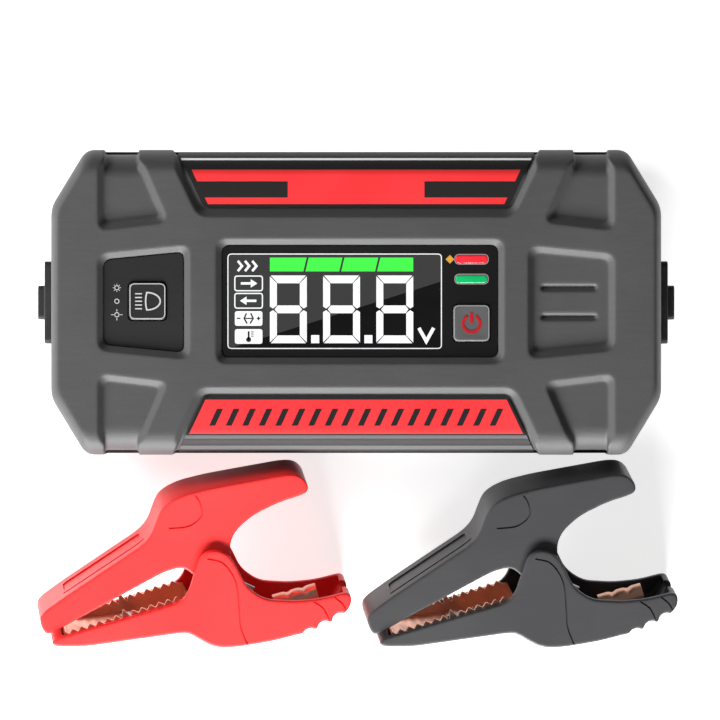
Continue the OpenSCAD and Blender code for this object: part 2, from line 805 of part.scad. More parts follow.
top_case();
bottom_case();
centre_band();
display_window();
display_panel();
control_board();
power_board();
light_panel();
light_button();
power_button();
fault_light_pipe();
ready_light_pipe();
rear_label_plate();
front_label_plate();
left_end_cover();
right_end_cover();
battery_cells();
cell_tray();
cell_pads();
output_socket();
output_contacts();
usb_bezel();
usb_board();
usb_a_socket();
usb_c_socket();
lamp_lens();
lamp_board();
button_switches();
case_screws();
board_screws();
red() lower_arm();  // red_lower_arm
red() upper_arm();  // red_upper_arm
copper(0) lower_jaw();  // red_lower_jaw
copper(0) upper_jaw();  // red_upper_jaw
steel(0) at_lower_screw() jaw_screw();  // red_lower_screw
steel(0) at_upper_screw() jaw_screw();  // red_upper_screw
steel(0) pivot_pin();  // red_pivot_pin
steel(0) spring();  // red_spring
copper(0) cable_lug();  // red_cable_lug
black() lower_arm();  // black_lower_arm
black() upper_arm();  // black_upper_arm
copper(1) lower_jaw();  // black_lower_jaw
copper(1) upper_jaw();  // black_upper_jaw
steel(1) at_lower_screw() jaw_screw();  // black_lower_screw
steel(1) at_upper_screw() jaw_screw();  // black_upper_screw
steel(1) pivot_pin();  // black_pivot_pin
steel(1) spring();  // black_spring
copper(1) cable_lug();  // black_cable_lug
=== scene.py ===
import math

import bmesh
import bpy
from mathutils import Matrix, Vector
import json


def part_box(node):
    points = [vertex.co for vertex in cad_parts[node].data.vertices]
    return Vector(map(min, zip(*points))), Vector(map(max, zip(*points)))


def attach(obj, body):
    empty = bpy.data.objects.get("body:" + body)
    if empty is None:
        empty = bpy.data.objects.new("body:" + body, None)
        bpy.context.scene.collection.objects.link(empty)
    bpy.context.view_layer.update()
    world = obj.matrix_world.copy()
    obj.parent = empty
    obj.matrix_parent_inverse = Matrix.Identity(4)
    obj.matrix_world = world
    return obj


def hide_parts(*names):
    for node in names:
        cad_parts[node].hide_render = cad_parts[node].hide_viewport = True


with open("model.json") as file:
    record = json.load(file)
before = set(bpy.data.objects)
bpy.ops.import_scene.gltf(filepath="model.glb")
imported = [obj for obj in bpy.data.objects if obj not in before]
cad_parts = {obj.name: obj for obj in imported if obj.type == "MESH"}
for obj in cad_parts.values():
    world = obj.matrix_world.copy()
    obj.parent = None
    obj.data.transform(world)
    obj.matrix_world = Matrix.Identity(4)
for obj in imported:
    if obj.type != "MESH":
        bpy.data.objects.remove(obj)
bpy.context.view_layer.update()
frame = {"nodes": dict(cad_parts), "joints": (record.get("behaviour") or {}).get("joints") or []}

# ---- Case shells ----
# Two moulded shells of dark grey filled nylon with a fine spark-eroded grain. The corner and label recesses
# run over the rounded edge, and all edges carry a soft radius. Four screws from below pull them together.
MM = 0.001


def place_of(node):
    """Lowest and highest corner of a CAD node, in millimetres."""
    low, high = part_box(node)
    return low / MM, high / MM


def seen_from_above(node):
    """Length, width and middle of a CAD node, in millimetres."""
    low, high = place_of(node)
    return high.x - low.x, high.y - low.y, (low.x + high.x) / 2, (low.y + high.y) / 2


shell_low, shell_high = place_of("top_case")
case_l = shell_high.x - shell_low.x
case_w = shell_high.y - shell_low.y
case_h = shell_high.z
shell_z = shell_low.z
corner_cut = Vector((11.7, 19.2))
edge_run, end_run, edge_rise = 8.0, 2.8, 8.0
cut_run = (edge_run + end_run) / 3
recess_d, wall, recess_corner = 1.6, 2.4, 2.4
skin = recess_d + wall
bevel = 2.2
edge_steps = 14


def soften(points, reach, steps=5):
    """A closed outline with each corner rounded over the length reach on both sides."""
    points = [Vector(p) for p in points]
    out = []
    for before, corner, after in zip(points[-1:] + points[:-1], points, points[1:] + points[:1]):
        back, forth = before - corner, after - corner
        start = corner + back.normalized() * min(reach, 0.49 * back.length)
        end = corner + forth.normalized() * min(reach, 0.49 * forth.length)
        for i in range(steps + 1):
            t = i / steps
            out.append((1 - t) ** 2 * start + 2 * t * (1 - t) * corner + t * t * end)
    return out


def grow(points, d):
    """A counter-clockwise outline moved outwards by d."""
    points = [Vector(p) for p in points]
    out = []
    for before, corner, after in zip(points[-1:] + points[:-1], points, points[1:] + points[:1]):
        u, v = (corner - before).normalized(), (after - corner).normalized()
        side = Vector((u.y, -u.x)) + Vector((v.y, -v.x))
        out.append(corner + side * d / (1 + u.dot(v)))
    return out


def flip_x(points):
    return [Vector((-p[0], p[1])) for p in reversed(points)]


def flip_y(points):
    return [Vector((p[0], -p[1])) for p in reversed(points)]


def rectangle(l, w, x=0.0, y=0.0):
    return [(x - l / 2, y - w / 2), (x + l / 2, y - w / 2), (x + l / 2, y + w / 2), (x - l / 2, y + w / 2)]


def mesh_piece(name, points, faces):
    mesh = bpy.data.meshes.new(name)
    mesh.from_pydata([[c * MM for c in p] for p in points], [], faces)
    piece = bpy.data.objects.new(name, mesh)
    bpy.context.scene.collection.objects.link(piece)
    return piece


def loft(name, rings):
    """A closed solid through rings of equal length, from the lowest to the highest."""
    n = len(rings[0])
    faces = [list(range(n))[::-1], list(range((len(rings) - 1) * n, len(rings) * n))]
    for j in range(len(rings) - 1):
        for i in range(n):
            k = (i + 1) % n
            faces.append([j * n + i, j * n + k, (j + 1) * n + k, (j + 1) * n + i])
    return mesh_piece(name, [p for ring in rings for p in ring], faces)


def level(outline, z):
    return [(p[0], p[1], z) for p in outline]


def prism(name, outline, z0, z1):
    return loft(name, [level(outline, z0), level(outline, z1)])


def settle(piece):
    """Applies the piece's modifiers to its mesh."""
    seen = piece.evaluated_get(bpy.context.evaluated_depsgraph_get())
    shape = bpy.data.meshes.new_from_object(seen)
    piece.modifiers.clear()
    old, piece.data = piece.data, shape
    bpy.data.meshes.remove(old)


def combine(piece, tool, operation="DIFFERENCE"):
    step = piece.modifiers.new("cut", "BOOLEAN")
    step.object, step.operation, step.solver = tool, operation, "EXACT"
    settle(piece)
    bpy.data.objects.remove(tool)


def cut(piece, outline, z0, z1):
    """Cuts an upright prism out of the piece."""
    combine(piece, prism("tool", outline, z0, z1))


def join(piece, outline, z0, z1):
    """Adds an upright prism to the piece."""
    combine(piece, prism("tool", outline, z0, z1), "UNION")


def shift(piece, x, y, z):
    piece.data.transform(Matrix.Translation(Vector((x, y, z)) * MM))


def turn(piece, degrees, axis):
    piece.data.transform(Matrix.Rotation(math.radians(degrees), 4, axis))


def mirror(piece, axis):
    piece.data.transform(Matrix.Scale(-1, 4, axis))
    piece.data.flip_normals()


def face_outwards(piece):
    work = bmesh.new()
    work.from_mesh(piece.data)
    bmesh.ops.recalc_face_normals(work, faces=work.faces)
    work.to_mesh(piece.data)
    work.free()


def smooth(piece, angle):
    """Smooth shading, with the edges sharper than angle degrees left crisp."""
    piece.data.shade_smooth()
    piece.data.set_sharp_from_angle(angle=math.radians(angle))


def moulded(piece, cell, rounds, faces):
    """Gives every edge the soft radius of a moulding, and thins the mesh to about that many triangles."""
    grid = piece.modifiers.new("grid", "REMESH")
    grid.mode, grid.voxel_size = "VOXEL", cell * MM
    soft = piece.modifiers.new("soft", "SMOOTH")
    soft.factor, soft.iterations = 0.5, rounds
    settle(piece)
    thin = piece.modifiers.new("thin", "DECIMATE")
    thin.ratio = min(1.0, faces / (2 * len(piece.data.polygons)))
    settle(piece)
    smooth(piece, 60)


def eased(piece, width, angle=30):
    """Breaks a machined or stamped piece's edges with a small radius."""
    step = piece.modifiers.new("edge", "BEVEL")
    step.width, step.segments, step.angle_limit = width * MM, 2, math.radians(angle)
    step.limit_method = "ANGLE"
    settle(piece)
    smooth(piece, 20)


def case_outline(end_in, side_in, cut_in):
    """The case seen from above, moved inwards at its ends, its sides and its cut corners."""
    a, b = case_l / 2, case_w / 2
    k = corner_cut.y * a + corner_cut.x * b - corner_cut.x * corner_cut.y - cut_in * corner_cut.length
    x0, y0 = a - end_in, b - side_in
    y1 = (k - corner_cut.y * x0) / corner_cut.x
    x1 = (k - corner_cut.x * y0) / corner_cut.y
    corners = [(x0, -y1), (x0, y1), (x1, y0), (-x1, y0), (-x0, y1), (-x0, -y1), (-x1, -y0), (x1, -y0)]
    return soften(corners, reach=3, steps=6)


def half_body(name, inset, start):
    """The upper half of the case's form, moved inwards by inset, from the height start."""
    rings = [level(case_outline(inset, inset, inset), start)]
    for i in range(edge_steps + 1):
        s = math.radians(90 * i / edge_steps)
        f = 1 - math.cos(s)
        outline = case_outline(inset + end_run * f, inset + edge_run * f, inset + cut_run * f)
        rings.append(level(outline, case_h - inset - edge_rise * (1 - math.sin(s))))
    return loft(name, rings)


half_l, half_w = case_l / 2, case_w / 2
corner_recess = [
    (half_l - 17.9, half_w - 24.8), (half_l - 17.9, half_w + 9), (half_l - 29.3, half_w + 9),
    (half_l - 29.3, half_w - 5.6), (half_l - 36.6, half_w - 22.6),
]
label_x = half_l - 41
label_recess = [
    (-label_x + 9.5, half_w - 20.4), (label_x - 9.5, half_w - 20.4),
    (label_x + 4.5, half_w + 9), (-label_x - 4.5, half_w + 9),
]
pad_in, pad_out = half_l - 44.5, half_l - 17.8
pad_recess = [(pad_in, -16.8), (pad_out, -14.2), (pad_out, 14.2), (pad_in, 16.8)]
grip_recess = [(half_l - 42.6, -16.6)] + pad_recess[1:3] + [(half_l - 42.6, 16.6)]


def sloped_cut(piece, floor, bottom):
    """Cuts a recess: straight up to the recess floor's height, then flaring out with the sloped border."""
    floor_z, above, soft = case_h - recess_d, 1.0, recess_corner
    wide = soften(grow(floor, bevel * (1 + above / recess_d)), soft + bevel)
    rings = [level(soften(floor, soft), bottom), level(soften(floor, soft), floor_z), level(wide, case_h + above)]
    combine(piece, loft("tool", rings))


screw_spots = [(x * (half_l - 20), y * (half_w - 14.5)) for x in (-1, 1) for y in (-1, 1)]
boss_r, pilot_r, post_r, head_well_r, screw_hole_r = 3.5, 1.5, 4.3, 3.1, 1.7
lamp_d = 12.0
lamp_y = half_w - corner_cut.y - lamp_d / 2 - 4.5
mid_z = case_h / 2
port_w, port_h = 22.6, 14.0


def arc(x, y, r, start=0.0, end=360.0, steps=32):
    """Points along an arc, without the last one when the arc is a whole circle."""
    count = steps if end - start >= 360 else steps + 1
    turns = [math.radians(start + (end - start) * i / steps) for i in range(count)]
    return [(x + r * math.cos(t), y + r * math.sin(t)) for t in turns]


def shell(name, upright):
    """One hollow shell with its edge recesses, screw bosses, port openings and the lamp's bore."""
    body = half_body(name, 0, shell_z)
    for outline in (corner_recess, flip_x(corner_recess), label_recess):
        sloped_cut(body, outline, shell_z - 1)
        sloped_cut(body, flip_y(outline), shell_z - 1)
    combine(body, half_body("core", recess_d, shell_z), "UNION")
    combine(body, half_body("hollow", skin, shell_z - 1))
    for x, y in screw_spots:
        join(body, arc(x, y, boss_r), shell_z, case_h - recess_d - 0.6)
    for x in (-half_l, half_l):
        mouth = rectangle(4 * skin, port_w, x)
        cut(body, mouth, mid_z - port_h / 2, mid_z + port_h / 2)
    bore = prism("bore", arc(0, 0, lamp_d / 2, steps=48), -skin - 1, skin + 1)
    turn(bore, 90, "Y")
    shift(bore, -half_l, lamp_y, mid_z)
    combine(body, bore)
    if not upright:
        mirror(body, (0, 0, 1))
        shift(body, 0, 0, case_h)
    return body


window_l, window_w, window_x, window_y = seen_from_above("display_window")
glass_low, glass_top = [corner.z for corner in place_of("display_window")]
fit, window_recess_bottom = 0.15, 41.0

top_case = shell("case_top_shell", True)
window_recess = rectangle(window_l + 2 * fit, window_w + 2 * fit, window_x, window_y)
sloped_cut(top_case, window_recess, window_recess_bottom)
sloped_cut(top_case, grip_recess, case_h - recess_d - 0.01)
sloped_cut(top_case, flip_x(pad_recess), case_h - recess_d - 0.01)


class Wire:
    """An output of a shader node that takes part in sums."""

    def __init__(self, paint, socket):
        self.paint, self.socket = paint, socket

    def maths(self, operation, a, b):
        return self.paint.node("ShaderNodeMath", {0: a, 1: b}, operation=operation)

    def __add__(self, other):
        return self.maths("ADD", self, other)

    def __sub__(self, other):
        return self.maths("SUBTRACT", self, other)

    def __mul__(self, other):
        return self.maths("MULTIPLY", self, other)

    def __gt__(self, other):
        return self.maths("GREATER_THAN", self, other)

    def __lt__(self, other):
        return self.maths("LESS_THAN", self, other)

    def __or__(self, other):
        return self.maths("MAXIMUM", self, other)

    def __abs__(self):
        return self.maths("ABSOLUTE", self, 0.0)

    __radd__ = __add__


class Paint:
    """A material in the making."""

    def __init__(self, name):
        self.material = bpy.data.materials.new(name)
        self.material.use_nodes = True
        self.tree = self.material.node_tree
        self.tree.nodes.clear()
        self.object_place = self.node("ShaderNodeTexCoord", output="Object")

    def node(self, kind, sockets={}, output=0, **settings):
        made = self.tree.nodes.new(kind)
        for name, value in settings.items():
            setattr(made, name, value)
        for key, value in sockets.items():
            if isinstance(value, Wire):
                self.tree.links.new(value.socket, made.inputs[key])
            else:
                made.inputs[key].default_value = value
        return Wire(self, made.outputs[output])

    def noise(self, size, detail=2.0, rough=0.5, stretch=(1, 1, 1), skew=0.0):
        """Noise of about that size in millimetres, longer along an axis whose stretch is above 1."""
        scale = [1 / s for s in stretch]
        place = self.node("ShaderNodeMapping", {"Vector": self.object_place, "Scale": scale})
        sockets = {"Vector": place, "Scale": 1000 / size, "Detail": detail, "Roughness": rough, "Distortion": skew}
        return self.node("ShaderNodeTexNoise", sockets)

    def cells(self, size, output="Distance"):
        return self.node("ShaderNodeTexVoronoi", {"Vector": self.object_place, "Scale": 1000 / size}, output)

    def along(self, axis):
        """The object's X, Y or Z in millimetres."""
        return self.node("ShaderNodeSeparateXYZ", {0: self.object_place}, axis) * 1000.0

    def spread(self, value, low, high, to_low=0.0, to_high=1.0):
        sockets = {0: value, 1: low, 2: high, 3: to_low, 4: to_high}
        return self.node("ShaderNodeMapRange", sockets)

    def blend(self, share, a, b):
        a, b = [c if isinstance(c, Wire) else (*c, 1.0) for c in (a, b)]
        return self.node("ShaderNodeMix", {0: share, 6: a, 7: b}, 2, data_type="RGBA")

    def relief(self, height, depth):
        """A bump whose height is depth millimetres where the value is 1."""
        return self.node("ShaderNodeBump", {"Strength": 1.0, "Distance": depth * MM, "Height": height})

    def finish(self, **sockets):
        names = {key: key.replace("_", " ") for key in sockets}
        values = {names[k]: v if isinstance(v, (Wire, float)) else (*v, 1.0) for k, v in sockets.items()}
        shader = self.node("ShaderNodeBsdfPrincipled", values)
        surface = self.tree.nodes.new("ShaderNodeOutputMaterial").inputs["Surface"]
        self.tree.links.new(shader.socket, surface)
        return self.material


def hand_over(piece, material, body, slot, *nodes):
    """Gives a piece its material, its body and the CAD nodes that it stands for, which it hides. The slot argument
    is not used.
    """
    piece.data.materials.clear()
    piece.data.materials.append(material)
    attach(piece, body)
    if nodes:
        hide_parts(*nodes)


def dress(node, material):
    """Gives a CAD node that stays its material."""
    for slot in frame["nodes"][node].material_slots:
        slot.material = material


def grained_plastic(name, light, dark, rough, grain=0.55, depth=0.035):
    """Moulded plastic with a spark grain, faint flow streaks along X and cloudiness."""
    paint = Paint(name)
    pits = paint.cells(grain)
    fine = paint.noise(grain * 0.45, 3.0, 0.6)
    streak = paint.noise(1.3, 3.0, 0.6, (9, 1, 1))
    cloud = paint.noise(38, 3.0, 0.55)
    colour = paint.blend(paint.spread(cloud * 0.4 + fine * 0.3 + streak * 0.3, 0.34, 0.66), dark, light)
    shine = paint.spread(cloud * 0.5 + fine * 0.5, 0.3, 0.7, rough - 0.05, rough + 0.07)
    return paint.finish(
        Base_Color=colour, Roughness=shine, Normal=paint.relief(pits * 0.7 + fine * 0.6, depth), IOR=1.48
    )


case_grey = grained_plastic("case_grey_plastic", (0.071, 0.071, 0.073), (0.055, 0.055, 0.057), 0.58)

pocket = grow(rectangle(window_l, window_w, window_x, window_y), fit)
cut(top_case, soften(pocket, recess_corner), glass_low, case_h)
ledge = grow(pocket, -1.4)
cut(top_case, soften(ledge, 2), case_h - 2 * skin, case_h)
cut(top_case, soften(flip_x(pad_recess), recess_corner), glass_low, case_h)
light_l, _, light_x, light_y = seen_from_above("light_button")
key_hole = soften(rectangle(15.5, 15.5, light_x, light_y), 2)
cut(top_case, key_hole, case_h - 2 * skin, case_h)
groove_l, groove_w, groove_pitch = 18.6, 1.8, 9.8
for side in (-1, 1):
    line = rectangle(groove_l, groove_w, half_l - 31, side * groove_pitch / 2)
    cut(top_case, soften(line, 0.85), case_h - recess_d - 0.9, case_h)
for x, y in screw_spots:
    cut(top_case, arc(x, y, pilot_r, steps=20), shell_z - 1, case_h - recess_d - wall - 1.2)
moulded(top_case, cell=0.45, rounds=3, faces=150000)
hand_over(top_case, case_grey, "pack", "case_plastic", "top_case")

bottom_case = shell("case_bottom_shell", False)
screw_seat = 5.5
for x, y in screw_spots:
    join(bottom_case, arc(x, y, post_r), recess_d + 0.6, shell_z - fit)
    cut(bottom_case, arc(x, y, head_well_r), -1, screw_seat)
    cut(bottom_case, arc(x, y, screw_hole_r), 0, case_h)
moulded(bottom_case, cell=0.45, rounds=3, faces=120000)
hand_over(bottom_case, case_grey, "pack", "case_plastic", "bottom_case")

# ---- Centre band ----
# A black ring of soft plastic between the two shells. It seals the joint and shows only in the notches of
# the long sides. It is held by the shells' edges.
dress("centre_band", grained_plastic("band_black_plastic", (0.013, 0.013, 0.014), (0.009, 0.009, 0.01), 0.6))

# ---- Display window ----
# One smoked, hard-coated sheet with rounded edges, set flush in its recess on double-sided tape. It has a
# square opening for the power key and two slots for the status lights.
key_gap, key_flange, key_corner = 0.3, 0.8, 1.8
power_l, _, power_x, power_y = seen_from_above("power_button")
power_side = power_l - 2 * key_flange
light_side = light_l - 2 * key_flange
lights = {"fault_light_pipe": "fault", "ready_light_pipe": "ready"}


def key_opening(plate, side, x, y):
    """Cuts the square opening of a key through the plate around it."""
    w = side + 2 * key_gap
    cut(plate, soften(rectangle(w, w, x, y), key_corner), 0, case_h)


window_outline = soften(rectangle(window_l, window_w, window_x, window_y), recess_corner, 8)
window = prism("smoked_window", window_outline, glass_low, glass_top)
key_opening(window, power_side, power_x, power_y)
slot_gap = 0.1
for node in lights:
    l, w, x, y = seen_from_above(node)
    slot_outline = rectangle(l + 2 * slot_gap, w + 2 * slot_gap, x, y)
    cut(window, soften(slot_outline, w / 2 + slot_gap, 8), 0, case_h)
eased(window, 0.22)


def gloss_black(name, low, high):
    """Smoked polish with faint smears and a little dust, between two roughnesses."""
    paint = Paint(name)
    smear = paint.noise(26, 4.0, 0.6, (3, 1, 1), 0.6)
    dust = paint.cells(3.1)
    speck = paint.spread(dust, 0.0, 0.05, 1.0, 0.0) * 0.1
    haze = speck + paint.spread(smear, 0.45, 0.8) * 0.1
    colour = paint.blend(haze, (0.0035, 0.0035, 0.004), (0.05, 0.052, 0.056))
    shine = paint.spread(smear, 0.35, 0.75, low, high) + speck
    return paint.finish(Base_Color=colour, Roughness=shine, IOR=1.5)


hand_over(window, gloss_black("smoked_gloss", 0.16, 0.24), "pack", "smoked_window", "display_window")


# ---- Display ----
# The lit symbols seen through the window: three seven-segment digits with points, four charge bars, a
# column of state symbols and the outline of the screen. They are thin films on the window's face.
class Film:
    """Thin flat patches and lines gathered into one mesh between two heights."""

    def __init__(self, low, high):
        self.low, self.high, self.points, self.faces = low, high, [], []

    def patch(self, outline):
        start, n = len(self.points), len(outline)
        self.points += level(outline, self.low) + level(outline, self.high)
        self.faces.append([start + i for i in range(n)][::-1])
        self.faces.append([start + n + i for i in range(n)])
        for i in range(n):
            k = (i + 1) % n
            self.faces.append([start + i, start + k, start + n + k, start + n + i])

    def line(self, route, width, closed=False):
        """A line of that width along the route, mitred at its bends."""
        route = [Vector(p) for p in route]
        n, start = len(route), len(self.points)
        for i, p in enumerate(route):
            before = route[i - 1] if closed or i else None
            after = route[(i + 1) % n] if closed or i < n - 1 else None
            u = (p - before).normalized() if before else (after - p).normalized()
            v = (after - p).normalized() if after else u
            across = (Vector((u.y, -u.x)) + Vector((v.y, -v.x))) * width / 2 / (1 + u.dot(v))
            for q, heights in ((p + across, (self.low, self.high)), (p - across, (self.high, self.low))):
                self.points += [(q.x, q.y, z) for z in heights]
        for i in range(n if closed else n - 1):
            a, b = start + 4 * i, start + 4 * ((i + 1) % n)
            for k in range(4):
                self.faces.append([a + k, b + k, b + (k + 1) % 4, a + (k + 1) % 4])
        if not closed:
            self.faces.append([start + k for k in range(4)])
            self.faces.append([start + 4 * (n - 1) + k for k in (3, 2, 1, 0)])

    def frame(self, l, w, x, y, reach, width, steps=6):
        """The outline of a rounded rectangle."""
        self.line(soften(rectangle(l, w, x, y), reach, steps), width, True)

    def piece(self, name):
        made = mesh_piece(name, self.points, self.faces)
        face_outwards(made)
        return made


def geometry_tree(name, inputs):
    """A geometry node group with these inputs, and a function that puts a linked node into it."""
    tree = bpy.data.node_groups.new(name, "GeometryNodeTree")
    tree.is_modifier = True
    tree.interface.new_socket("Geometry", in_out="OUTPUT", socket_type="NodeSocketGeometry")
    for label, kind in inputs.items():
        tree.interface.new_socket(label, in_out="INPUT", socket_type="NodeSocket" + kind)

    def put(kind, sockets={}, **settings):
        made = tree.nodes.new(kind)
        for label, value in settings.items():
            setattr(made, label, value)
        for label, value in sockets.items():
            if isinstance(value, bpy.types.NodeSocket):
                tree.links.new(value, made.inputs[label])
            else:
                made.inputs[label].default_value = value
        return made.outputs

    return tree, put


def painted_result(put, geometry, finish):
    """Ends a geometry tree with real geometry in its material."""
    solid = put("GeometryNodeRealizeInstances", {"Geometry": geometry})
    painted = put("GeometryNodeSetMaterial", {"Geometry": solid["Geometry"], "Material": finish})
    put("NodeGroupOutput", {"Geometry": painted["Geometry"]})


def array_tree():
    """Geometry nodes that lay copies of a piece out in columns and rows."""
    inputs = {"Piece": "Object", "Columns": "Int", "Column Step": "Vector", "Rows": "Int"}
    inputs.update({"Row Step": "Vector", "First": "Vector", "Finish": "Material"})
    tree, put = geometry_tree("rows_of_copies", inputs)
    given = put("NodeGroupInput")
    line = {"Count": given["Columns"], "Start Location": given["First"], "Offset": given["Column Step"]}
    columns = put("GeometryNodeMeshLine", line, mode="OFFSET")
    rows = put("GeometryNodeMeshLine", {"Count": given["Rows"], "Offset": given["Row Step"]}, mode="OFFSET")
    lattice = put("GeometryNodeInstanceOnPoints", {"Points": columns["Mesh"], "Instance": rows["Mesh"]})
    spots = put("GeometryNodeRealizeInstances", {"Geometry": lattice["Instances"]})
    source = put("GeometryNodeObjectInfo", {"Object": given["Piece"]})
    copies = put("GeometryNodeInstanceOnPoints", {"Points": spots["Geometry"], "Instance": source["Geometry"]})
    painted_result(put, copies["Instances"], given["Finish"])
    return tree


def grown(name, tree, values):
    """The plain mesh that a geometry tree makes from these input values."""
    host = mesh_piece(name, [], [])
    nodes = host.modifiers.new("grow", "NODES")
    nodes.node_group = tree
    for item in tree.interface.items_tree:
        if item.in_out == "INPUT" and item.name in values:
            nodes[item.identifier] = values[item.name]
    settle(host)
    return host


rows_of_copies = array_tree()


def copies(name, piece, material, columns, step, first=(0, 0, 0), rows=1, row_step=(0, 0, 0)):
    values = {"Piece": piece, "Columns": columns, "Column Step": [c * MM for c in step], "Rows": rows}
    values.update({"Row Step": [c * MM for c in row_step], "First": [c * MM for c in first], "Finish": material})
    made = grown(name, rows_of_copies, values)
    bpy.data.objects.remove(piece)
    return made


def lit(name, colour, power, body=0.6):
    """A lit film: brighter in the middle of its grain, with a glossy cover. The segments and the status lights are
    lit; on the printed marks the small emission is a painted glow.
    """
    paint = Paint(name)
    grain = paint.noise(2.4, 2.0)
    base = [c * body for c in colour]
    tone = paint.blend(paint.spread(grain, 0.35, 0.7), [c * 0.93 for c in colour], colour)
    shade = paint.blend(paint.spread(grain, 0.35, 0.7), [c * 0.9 for c in base], base)
    rough = paint.spread(grain, 0.3, 0.7, 0.12, 0.2)
    return paint.finish(Base_Color=shade, Roughness=rough, Emission_Color=tone, Emission_Strength=power)


film_t = 0.05
film = (glass_top - 0.01, glass_top + film_t)
white_light = lit("white_segments", (0.94, 0.95, 0.96), 0.42)
green_light = lit("green_segments", (0.05, 0.9, 0.06), 0.5)
screen_l, screen_w = 71.2, 31.5
screen_x = window_x - window_l / 2 + 1.8 + screen_l / 2
left_x, top_y = screen_x - screen_l / 2, window_y + screen_w / 2

sheet = Film(glass_top - 0.01, glass_top + 0.02)
sheet.patch(soften(rectangle(screen_l - 0.2, screen_w - 0.2, screen_x, window_y), 1.3, 6))
hand_over(sheet.piece("screen_sheet"), gloss_black("screen_gloss", 0.0, 0.004), "pack", "smoked_window")
marks = Film(*film)
marks.frame(screen_l, screen_w, screen_x, window_y, 1.3, 0.33)
digit_w, digit_h, bar, mitre = 12.3, 22.6, 2.6, 0.28
digit_x, digit_y = left_x + 14.0, window_y - screen_w / 2 + 1.75
digit_step = 17.75
middle, half_bar = digit_h / 2, bar / 2
bar_end, point_x = digit_w - bar, bar * 0.6
digit = Film(*film)
digit.patch([(mitre, digit_h), (bar, digit_h - bar), (bar_end, digit_h - bar), (digit_w - mitre, digit_h)])
digit.patch([(mitre, 0), (digit_w - mitre, 0), (bar_end, bar), (bar, bar)])
crossbar = [(point_x, middle), (bar, middle - half_bar), (bar_end, middle - half_bar)]
crossbar += [(digit_w - point_x, middle), (bar_end, middle + half_bar), (bar, middle + half_bar)]
digit.patch(crossbar)
upright = [(0, mitre), (bar - mitre, bar), (bar - mitre, middle - half_bar)]
upright += [(bar * 0.4, middle - mitre), (0, middle - 0.9)]
for left in (True, False):
    for lower in (True, False):
        side = [(x if left else digit_w - x, y if lower else digit_h - y) for x, y in upright]
        digit.patch(side if left == lower else side[::-1])
digits = copies("lit_digits", digit.piece("digit"), white_light, 3, (digit_step, 0, 0), (digit_x, digit_y, 0))
hand_over(digits, white_light, "pack", "display")
dot = Film(*film)
dot.patch(rectangle(2.7, 2.7, 0, 1.35))
dots = copies("lit_points", dot.piece("dot"), white_light, 2, (digit_step, 0, 0), (digit_x + 15.1, digit_y, 0))
hand_over(dots, white_light, "pack", "display")
volt_x, volt_y = digit_x + 49.7, digit_y + 0.1
marks.line([(volt_x, volt_y + 5), (volt_x + 2.45, volt_y + 0.55), (volt_x + 4.9, volt_y + 5)], 1.15)

charge = Film(*film)
charge_step, charge_h, charge_gap = 11.95, 4.6, 0.8
for k in range(4):
    x, y = digit_x + charge_step * k, top_y - 5.8
    low_left, high_left = (x, x) if k == 0 else (x - 0.1, x + 1.0)
    x += charge_step
    low_right, high_right = (x, x) if k == 3 else (x - charge_gap, x + 1.1 - charge_gap)
    charge.patch([(low_left, y), (low_right, y), (high_right, y + charge_h), (high_left, y + charge_h)])
hand_over(charge.piece("charge_bars"), green_light, "pack", "display")

icon_x, icon_w, icon_h = left_x + 6.9, 9.2, 4.9
icon_y = [top_y - drop for drop in (9.8, 15.6, 21.5, 27.5)]
for y in icon_y[:2]:
    marks.frame(icon_w, icon_h, icon_x, y, 0.8, 0.4, 3)
for i, way in enumerate((1, -1)):
    y = icon_y[i]
    marks.line([(icon_x - 2.6 * way, y), (icon_x + 0.9 * way, y)], 0.8)
    tip = [(icon_x + 0.7 * way, y - 1.4), (icon_x + 2.9 * way, y), (icon_x + 0.7 * way, y + 1.4)]
    marks.patch(tip if way > 0 else tip[::-1])
for k in range(3):
    x = icon_x - 3.1 + 2.4 * k
    marks.line([(x - 0.5, top_y - 5.7), (x + 0.9, top_y - 4.0), (x - 0.5, top_y - 2.3)], 0.8)
for y in icon_y[2:]:
    marks.patch(soften(rectangle(icon_w, icon_h, icon_x, y), 0.8, 3))
hand_over(marks.piece("screen_marks"), white_light, "pack", "display")

glyphs = Film(film[1] - 0.01, film[1] + 0.03)
y = icon_y[2]
for side in (-1, 1):
    glyphs.line([(icon_x + side * 0.5, y - 1.7), (icon_x + side * 1.5, y), (icon_x + side * 0.7, y + 1.7)], 0.5)
    glyphs.line([(icon_x + side * 3.9, y), (icon_x + side * 2.7, y)], 0.4)
glyphs.line([(icon_x + 3.3, y - 0.6), (icon_x + 3.3, y + 0.6)], 0.4)
glyphs.line([(icon_x - 1.1, y), (icon_x + 1.1, y)], 0.4)
y = icon_y[3]
glyphs.patch(arc(icon_x, y - 1.05, 0.85, steps=16))
glyphs.line([(icon_x, y - 1.0), (icon_x, y + 1.7)], 0.62)
for k in range(3):
    glyphs.line([(icon_x + 0.8, y + 0.1 + 0.7 * k), (icon_x + 1.7, y + 0.1 + 0.7 * k)], 0.28)
ink = Paint("dark_ink")
ink_tone = ink.blend(ink.noise(0.6, 2.0), (0.012, 0.012, 0.013), (0.02, 0.02, 0.021))
dark_ink = ink.finish(Base_Color=ink_tone, Roughness=0.3)
hand_over(glyphs.piece("screen_glyphs"), dark_ink, "pack", "display")
dress("display_panel", dark_ink)
